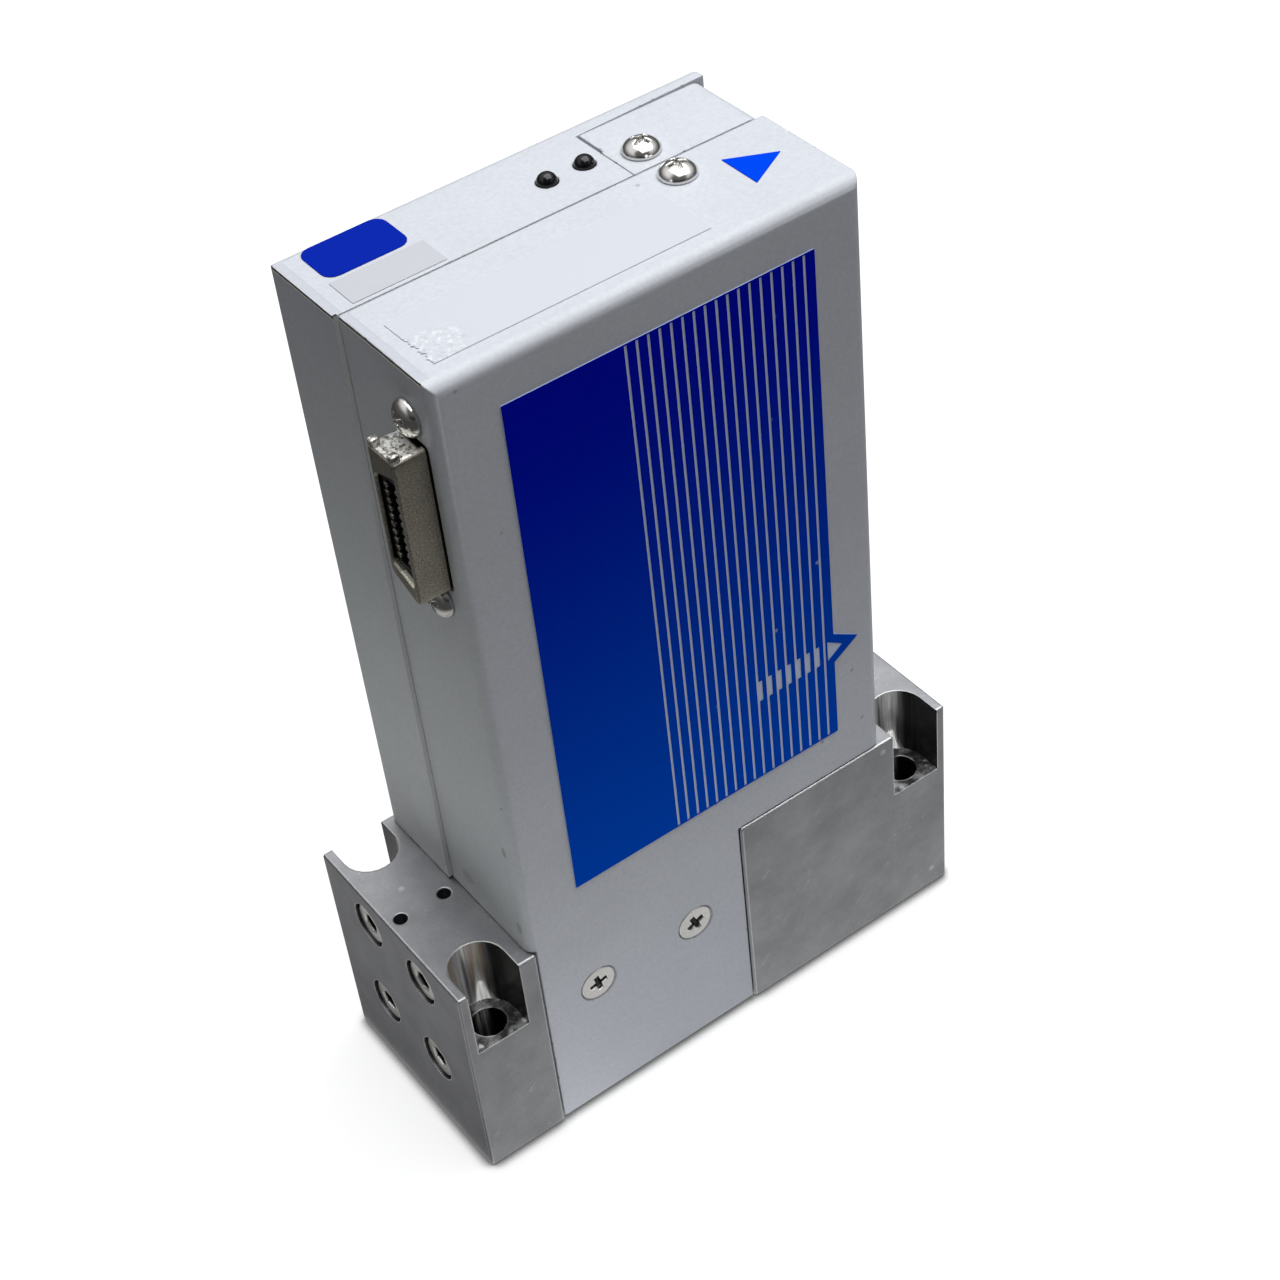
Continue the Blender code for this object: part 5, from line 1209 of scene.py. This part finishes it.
@dataclass
class ConnectorShell:
    """The die-cast shell: a rounded body with a D socket, a flange behind the cover and two lugs.

    Args:
        width: width of the body.
        height: its height.
        slope: how much its lower end slopes.
        corner: rounding of its corners.
        lip: width of the softened rim.
        socket_width: width of the socket.
        socket_long: its longer side.
        socket_short: its shorter side.
        socket_corner: rounding of the socket's corners, inside and at the rim.
        flange_thickness: thickness of the flange.
        lug: size of a lug.
        screw_pitch: distance between the two screws.
        clearance: how far the body keeps away from a screw's axis.
        notch_depth: how far in front of the flange that starts.
    """

    width: float = 6.2 * MM
    height: float = 23.0 * MM
    slope: float = 2.3 * MM
    corner: float = 0.7 * MM
    lip: float = 0.25 * MM
    socket_width: float = 5.0 * MM
    socket_long: float = 17.8 * MM
    socket_short: float = 14.2 * MM
    socket_corner: tuple[float, float] = (0.9 * MM, 1.0 * MM)
    flange_thickness: float = 1.0 * MM
    lug: float = 1.3 * MM
    screw_pitch: float = 29.4 * MM
    clearance: float = 3.9 * MM
    notch_depth: float = 2.1 * MM

    def build(self, finishes: Materials) -> None:
        """Makes the shell round the insulator, as rings from the socket out and over the flange."""
        low, high = box_of("connector_shell")
        middle = sum(box_of("connector_insulator"))[1:] / 2
        y, z = middle
        mouth, back = low[0], high[0]
        face = back - self.flange_thickness
        notch = face - self.notch_depth
        half, tall, lip = self.width / 2, self.height / 2, self.lip
        body = np.array([(y - half, z - tall), (y + half, z - tall + self.slope), (y + half, z + tall),
                         (y - half, z + tall)])
        d, long, short = self.socket_width / 2, self.socket_long / 2, self.socket_short / 2
        socket = np.array([(y - d, z - long), (y + d, z - short), (y + d, z + short), (y - d, z + long)])
        inner = rounded_loop(socket, self.socket_corner[0])
        wider = socket + np.sign(socket - middle) * (lip * 0.5, lip * 0.8)
        rim = rounded_loop(wider, self.socket_corner[1])
        front = rounded_loop(body - np.sign(body - middle) * lip, self.corner)
        outer = rounded_loop(body, self.corner)
        cut = self.notched(outer, y, z)
        plate = rounded_loop(rectangle(low[1:], high[1:]), self.corner)
        shape = sleeve([(inner, back), (inner, mouth + lip), (rim, mouth), (front, mouth),
                        (outer, mouth + lip), (outer, notch), (cut, notch), (cut, face), (plate, face),
                        (plate, back), (inner, back)])
        lug = self.lug
        lugs = (squared_ball((mouth + lug * 0.5, y + side * (half - lug * 0.6), z + tall + lug * 0.18),
                             (lug * 0.52, lug * 0.48, lug * 0.55)) for side in (-1.0, 1.0))
        make_piece("connector_shell_detailed", shape.plus(*lugs), finishes, "die_cast_shell",
                   ["connector_shell"])

    def notched(self, loop: np.ndarray, y: float, z: float) -> np.ndarray:
        """Pulls an outline in round both screws: no point stays within the clearance of a screw's axis."""
        reach = np.sqrt(np.maximum(self.clearance ** 2 - (loop[:, 0] - y) ** 2, 0.0))
        upper, lower = z + self.screw_pitch / 2 - reach, z - self.screw_pitch / 2 + reach
        inside = np.clip(loop[:, 1], np.minimum(lower, upper), upper)
        return np.stack([loop[:, 0], np.where(reach > 0, inside, loop[:, 1])], axis=1)


@dataclass
class ContactBlock:
    """The black moulding in the socket, with a slot between two rows of bent contacts.

    Args:
        below: how deep its face lies in the socket.
        clearance: its gap to the shell.
        corner: rounding of its corners, at the back and at the softened face.
        soft: depth of the softened rim.
        slot: width, length and depth of the slot.
        slot_corner: rounding of the slot's corners.
        thin: rounding of the line that closes the skin.
        runs: points on each side of an outline.
        contacts: how many contacts a row has.
        pitch: their distance.
        tip: size of a contact's tip.
        out: how far a tip's middle lies behind the face, and beside the slot.
    """

    below: float = 0.7 * MM
    clearance: float = 0.06 * MM
    corner: tuple[float, float] = (0.7 * MM, 0.8 * MM)
    soft: float = 0.1 * MM
    slot: tuple[float, float, float] = (2.2 * MM, 13.6 * MM, 1.8 * MM)
    slot_corner: float = 0.2 * MM
    thin: float = 0.001 * MM
    runs: int = 12
    contacts: int = 10
    pitch: float = 1.27 * MM
    tip: float = 0.30 * MM
    out: tuple[float, float] = (0.08 * MM, 0.22 * MM)

    def build(self, finishes: Materials) -> None:
        """Makes the moulding as rings from its back to the slot's floor, and two rows of contacts."""
        shell = ConnectorShell()
        low, high = box_of("connector_insulator")
        middle = ((low + high) / 2)[1:]
        y, z = middle
        face, back = box_of("connector_shell")[0][0] + self.below, high[0]
        gap = self.clearance
        d, long, short = shell.socket_width / 2 - gap, shell.socket_long / 2, shell.socket_short / 2
        body = [(y - d, z - long + gap * 2), (y + d, z - short + gap * 2), (y + d, z + short - gap),
                (y - d, z + long - gap * 2)]
        half, tall = self.slot[0] / 2, self.slot[1] / 2
        reach, thin = np.array((half, tall)), np.array((half * 0.01, tall))
        line = rounded_loop(rectangle(middle - thin, middle + thin), self.thin, self.runs)
        slot = rounded_loop(rectangle(middle - reach, middle + reach), self.slot_corner, self.runs)
        outer, eased = (rounded_loop(body, corner, self.runs) for corner in self.corner)
        floor = face + self.slot[2]
        shape = sleeve([(line, back), (outer, back), (outer, face + self.soft), (eased, face), (slot, face),
                        (slot, floor), (line, floor)])
        tips = (squared_ball((face + self.out[0], y + side * (half + self.out[1]),
                              z + (index - (self.contacts - 1) / 2) * self.pitch),
                             (self.tip * 0.8, self.tip * 1.5, self.tip), sunk=1.0)
                for index in range(self.contacts) for side in (-1.0, 1.0))
        make_piece("connector_insulator_detailed", shape.plus(*tips), finishes, "black_plastic",
                   ["connector_insulator"])


@dataclass
class ClearLabel:
    """The clear rating label, torn and creased at its front left corner.

    Args:
        grid: how many points run along X and along Y.
        tear: how far the creases reach.
        crease: height of a crease.
        ragged: how far the torn border is pulled in.
        torn_length: half the length of the torn border.
        waves: how fast the three sines of the creases turn, in radians a metre. The second has one for
            X and one for Y.
        rags: how fast the two sines of the ragged border turn.
    """

    grid: tuple[int, int] = (150, 60)
    tear: float = 4.2 * MM
    crease: float = 0.10 * MM
    ragged: float = 0.35 * MM
    torn_length: float = 3.5 * MM
    waves: tuple[float, float, float, float] = (5200.0, 7900.0, 3100.0, 9600.0)
    rags: tuple[float, float] = (6100.0, 2700.0)

    def build(self, finishes: Materials) -> None:
        """A flat film whose top rises in creases near the tear.

        The crease height is a sum of three sines of turned distances, times a bell around the
        corner. The outline there is pulled in by a ragged amount, so the film looks torn.
        """
        low, high = box_of("rating_label")
        u, v = np.meshgrid(*(np.linspace(0.0, 1.0, count) for count in self.grid), indexing="ij")
        x = low[0] + (high[0] - low[0]) * u
        y = low[1] + (high[1] - low[1]) * v
        torn_x, torn_y = low[:2] + TORN_CORNER
        bell = np.exp(-(np.hypot(x - torn_x, (y - torn_y) * 0.8) / self.tear) ** 2)
        along = (x - low[0]) * 0.8 + (y - low[1]) * 0.6
        first, second_x, second_y, third = self.waves
        waves = (np.sin(along * first) + 0.7 * np.sin(x * second_x - y * second_y + 1.3)
                 + 0.5 * np.sin(y * third + 0.4)) / 2.2
        z = high[2] + self.crease * bell * np.maximum(waves, -0.3)
        ragged = self.ragged * (1.0 + np.sin(y * self.rags[0]) * np.sin(y * self.rags[1] + 0.7))
        x = x + ragged * np.exp(-(u * 60.0)) * np.exp(-((y - torn_y) / self.torn_length) ** 2)
        top, base = np.dstack([x, y, z]), np.dstack([x, y, np.full_like(x, low[2])])
        wall = skin(np.stack([border(top), border(base)]))
        film = skin(top, closed=False).plus(skin(base, closed=False), wall)
        make_piece("rating_label_film", film, finishes, "label_film", ["rating_label"])


# The scene


def make_finishes(effects: Effects) -> Materials:
    """Builds the finish of every material slot.

    Args:
        effects: the shared node groups.

    Returns:
        The materials by slot.
    """
    (left, front, _), (_, _, top) = box_of("front_cover")
    print_low, print_high = box_of("front_print")
    label_low, label_high = box_of("rating_label")
    mouth = box_of("connector_shell")[0][0]
    middle = sum(box_of("connector_insulator"))[1:] / 2
    marks_and_highlights = (
        MarkOrHighlight((left, -0.0165, 0.0596), (0.001, 0.0006, 0.0010), (0.22, 0.23, 0.24), 0.5),
        MarkOrHighlight((left, -0.0033, 0.0435), (0.001, 0.0015, 0.0012), (0.42, 0.43, 0.43), 0.4),
        MarkOrHighlight((left, -0.0169, 0.0440), (0.001, 0.0006, 0.0013), (0.32, 0.33, 0.34), 0.5),
        MarkOrHighlight((left, 0.0060, 0.0500), (0.002, 0.0036, 0.0062), (0.80, 0.83, 0.85), 0.4),
        # Painted highlight on the edges at the front left top corner.
        MarkOrHighlight((left + MM, front + MM, top - MM), (0.0030, 0.0030, 0.0026), WHITE, 0.9, True),
        MarkOrHighlight((left, -0.0060, top), (0.0014, 0.0060, 0.0008), (0.06, 0.055, 0.05), 0.8, True),
    )
    kinds = (
        MachinedBlock("ground_steel", (0.334, 0.338, 0.352), 0.42, (1.0, 1.0, 0.3), grain=0.25, cloud=0.15,
                      edge=0.66, scale=3200.0, scratch=0.4, worn=0.38 * MM),
        Metal("screw_steel", (0.78, 0.77, 0.74), 0.30, grain=0.06, edge=0.2, recess=0.97),
        Metal("nickel_screw", (0.72, 0.71, 0.69), 0.15, grain=0.03, cloud=0.06, edge=0.28, recess=0.95),
        Metal("gasket_nickel", (0.60, 0.58, 0.53), 0.25, grain=0.05),
        DieCast("die_cast_shell", (0.42, 0.39, 0.325), 0.42, grain=0.3, cloud=0.15, edge=0.35,
                worn=0.18 * MM, rough_from=middle[1] + ConnectorShell.height / 2 - 0.05 * MM, mouth=mouth,
                foot=left - 0.22 * MM, middle=tuple(middle)),
        Paint("cover_paint", (0.70, 0.72, 0.77), marks_and_highlights=marks_and_highlights, top=top, front=front,
              field=(print_low[0], 24.8 * MM, print_low[2], print_high[2])),
        Ink("print_blue", (0.0006, 0.090, 0.70), (0.0006, 0.007, 0.55), (print_low[2], print_high[2]),
            top - MM, (0.004, 0.022, 0.40), (0.0006, 0.062, 0.84)),
        Plain("print_white", (0.76, 0.83, 1.0), 0.35, (0.72, 0.79, 0.98), gloss=0.2),
        Plain("label_grey", (0.615, 0.625, 0.665), 0.35, (0.60, 0.61, 0.65), scale=300.0, bump=0.01),
        ClearFilm("label_film", (0.70, 0.72, 0.775), (*(label_low[:2] + TORN_CORNER), label_high[2]),
                  (4.6 * MM, 3.6 * MM, 2.0 * MM)),
        ContactPlastic("black_plastic"),
        Plain("lamp_lens", (0.004, 0.004, 0.005), 0.06, bump=0.0, gloss=0.4),
        Plain("circuit_board", (0.02, 0.16, 0.06), 0.35),
        Metal("plated_sheet", (0.50, 0.50, 0.47), 0.35, (0.1, 1.0, 1.0)),
        Plain("seat_polymer", (0.80, 0.79, 0.75), 0.5),
        Plain("piezo_ceramic", (0.30, 0.16, 0.08), 0.5),
        Metal("dark_metal", (0.12, 0.12, 0.13), 0.4),
    )
    return {kind.name: kind.build(effects) for kind in kinds}


def dress_nodes(frame: dict, finishes: Materials) -> None:
    """Gives every CAD node its finish, with round stretches smooth and sharp turns crisp."""
    slots = {part["node"]: part["material_slot"] for part in frame["record"]["subparts"]}
    for name, node in frame["nodes"].items():
        finish = finishes[slots[name]]
        if not node.material_slots:
            node.data.materials.append(finish)
        for one in node.material_slots:
            one.material = finish
        node.modifiers.new("weld", "WELD").merge_threshold = WELD_NODE
        node.modifiers.new("crisp", "EDGE_SPLIT").split_angle = math.radians(CRISP_NODE)
        node.modifiers.new("smooth", "WEIGHTED_NORMAL").mode = "FACE_AREA"


@dataclass
class Studio:
    """White surroundings, one broad light overhead and the photograph's camera.

    Args:
        lens: focal length on a sensor 36 mm wide.
        place: the camera's place.
        turn: its turn in degrees.
        light_place: the light's place.
        light_size: its width and depth.
        light_colour: its colour.
        energy: its power.
        bounce: what the floor throws back near the object and far from it.
        watcher: the way to the photographer.
        below: how far the floor lies under the object, so that they never meet.
    """

    lens: float = 70.65
    place: Point = (-0.14103, -0.23412, 0.31669)
    turn: Point = (47.4922, 5.0416, -36.2724)
    light_place: Point = (0.27, -0.02, 1.0)
    light_size: float = 1.0
    light_colour: Colour = (0.97, 0.985, 1.0)
    energy: float = 11.1
    bounce: tuple[float, float] = (0.95, 0.03)
    watcher: Point = (-0.383, -0.636, 0.671)
    below: float = 0.2 * MM

    def camera(self) -> None:
        """Sets the camera where the photograph was taken from."""
        data = bpy.data.cameras.new("camera")
        data.lens = self.lens
        data.sensor_width = 36.0
        data.clip_start = 0.01
        camera = bpy.data.objects.new("camera", data)
        camera.location = self.place
        camera.rotation_euler = [math.radians(a) for a in self.turn]
        bpy.context.scene.collection.objects.link(camera)
        bpy.context.scene.camera = camera

    def lights(self) -> None:
        """A large soft light above, a little to the right."""
        data = bpy.data.lights.new("overhead", "AREA")
        data.shape = "RECTANGLE"
        data.size = data.size_y = self.light_size
        data.energy = self.energy
        data.color = self.light_colour
        light = bpy.data.objects.new("overhead", data)
        light.location = self.light_place
        bpy.context.scene.collection.objects.link(light)

    def world(self) -> None:
        """White to the camera, and dim to diffuse light. Reflections see a pale sky over a dark horizon.

        They also see a dark patch where the photographer stands.
        """
        world = bpy.data.worlds.new("world")
        bpy.context.scene.world = world
        world.use_nodes = True
        graph = Graph(world.node_tree)
        way = graph.out("TexCoord", output="Generated")
        up = graph.split(way)[2]
        dim = graph.remap(up, -0.1, 0.9, 0.09, 0.20)
        toward = graph.vector("DOT_PRODUCT", way, self.watcher)
        pale = (graph.ease(up, 0.18, 0.75, 0.10, 0.92)
                * graph.ease(toward, 0.66, 0.88, 1.0, 0.15))
        to_camera, mirrored = graph.rays()
        light = graph.blend(mirrored, graph.grey(dim), graph.grey(pale))
        background = world.node_tree.nodes["Background"]
        graph.feed(background.inputs["Color"], graph.blend(to_camera, light, WHITE))

    def floor(self) -> None:
        """A pale floor: a soft shadow and a thin contact line, and the most bounce near the object."""
        bpy.ops.mesh.primitive_plane_add(size=8.0, location=(0.0, 0.0, -self.below))
        floor = bpy.context.object
        floor.name = "floor"
        made = bpy.data.materials.new("floor")
        made.use_nodes = True
        tree = made.node_tree
        tree.nodes.remove(tree.nodes["Principled BSDF"])
        graph = Graph(tree)
        x, y, _ = graph.split(graph.place())
        far = graph.vector("LENGTH", graph.place())
        near = (graph.ease(far, 0.03, 0.19, *self.bounce)
                * graph.remap(y, -0.075, -0.02, 0.54, 0.96))
        thrown = graph.blend(1.0, graph.grey(near), (0.95, 0.965, 1.0), "MULTIPLY")
        lift = graph.ease(far, 0.04, 0.19, 0.85, 0.0) * graph.remap(x, -0.05, -0.01, 1.0, 0.12)
        open_air = graph.out("AmbientOcclusion", {"Distance": 2.2 * MM}, "AO", samples=8)
        seen = graph.ease(open_air, 0.45, 0.98, 0.16, 1.0)
        glow = seen * graph.ease(far, 0.25, 1.0, 0.73, 1.0)
        beside = x < -46.5 * MM
        kept = beside * graph.ease(x, -0.070, -0.050, 0.80, 0.33) + (1.0 - beside)
        pale = graph.ease(far, 0.08, 0.17, 0.61, 0.08) * kept
        to_camera, mirrored = graph.rays()
        shown = self.lit(graph, graph.grey(seen * 0.45), glow)
        soft = graph.out("Emission", {"Color": graph.grey(pale)})
        unseen = graph.out("MixShader", {0: mirrored, 1: self.lit(graph, thrown, lift), 2: soft})
        mixed = graph.out("MixShader", {0: to_camera, 1: unseen, 2: shown})
        graph.feed(tree.nodes["Material Output"].inputs["Surface"], mixed)
        floor.data.materials.append(made)

    @staticmethod
    def lit(graph: Graph, colour: Term, glow: Term) -> Term:
        """A dull surface of a colour that also glows in grey."""
        dull = graph.out("BsdfDiffuse", {"Color": colour})
        return graph.out("AddShader", {0: dull, 1: graph.out("Emission", {"Color": graph.grey(glow)})})

    def build(self) -> None:
        """Sets up the whole studio."""
        bpy.context.scene.view_settings.view_transform = "Standard"
        self.camera()
        self.lights()
        self.world()
        self.floor()


def main() -> None:
    """Builds the scene and writes how large it came out."""
    logging.basicConfig(level=logging.INFO, format="%(message)s")
    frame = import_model()
    finishes = make_finishes(Effects())
    dress_nodes(frame, finishes)
    LOG.info("dressed %d nodes", len(frame["nodes"]))
    pan = CrossScrew(head=5.4 * MM, height=1.8 * MM, rim=0.4 * MM, length=5.0 * MM, shade=0.35)
    countersunk = CrossScrew(head=6.0 * MM, height=1.6 * MM, rim=0.0, length=8.0 * MM, domed=False,
                             arm=0.165, reach=0.53)
    screws = Fasteners(pan, countersunk, SocketScrew())
    for kind in (screws, Lamps(), ConnectorShell(), ContactBlock(), ClearLabel()):
        kind.build(finishes)
    Studio().build()


if __name__ == "__main__":
    main()
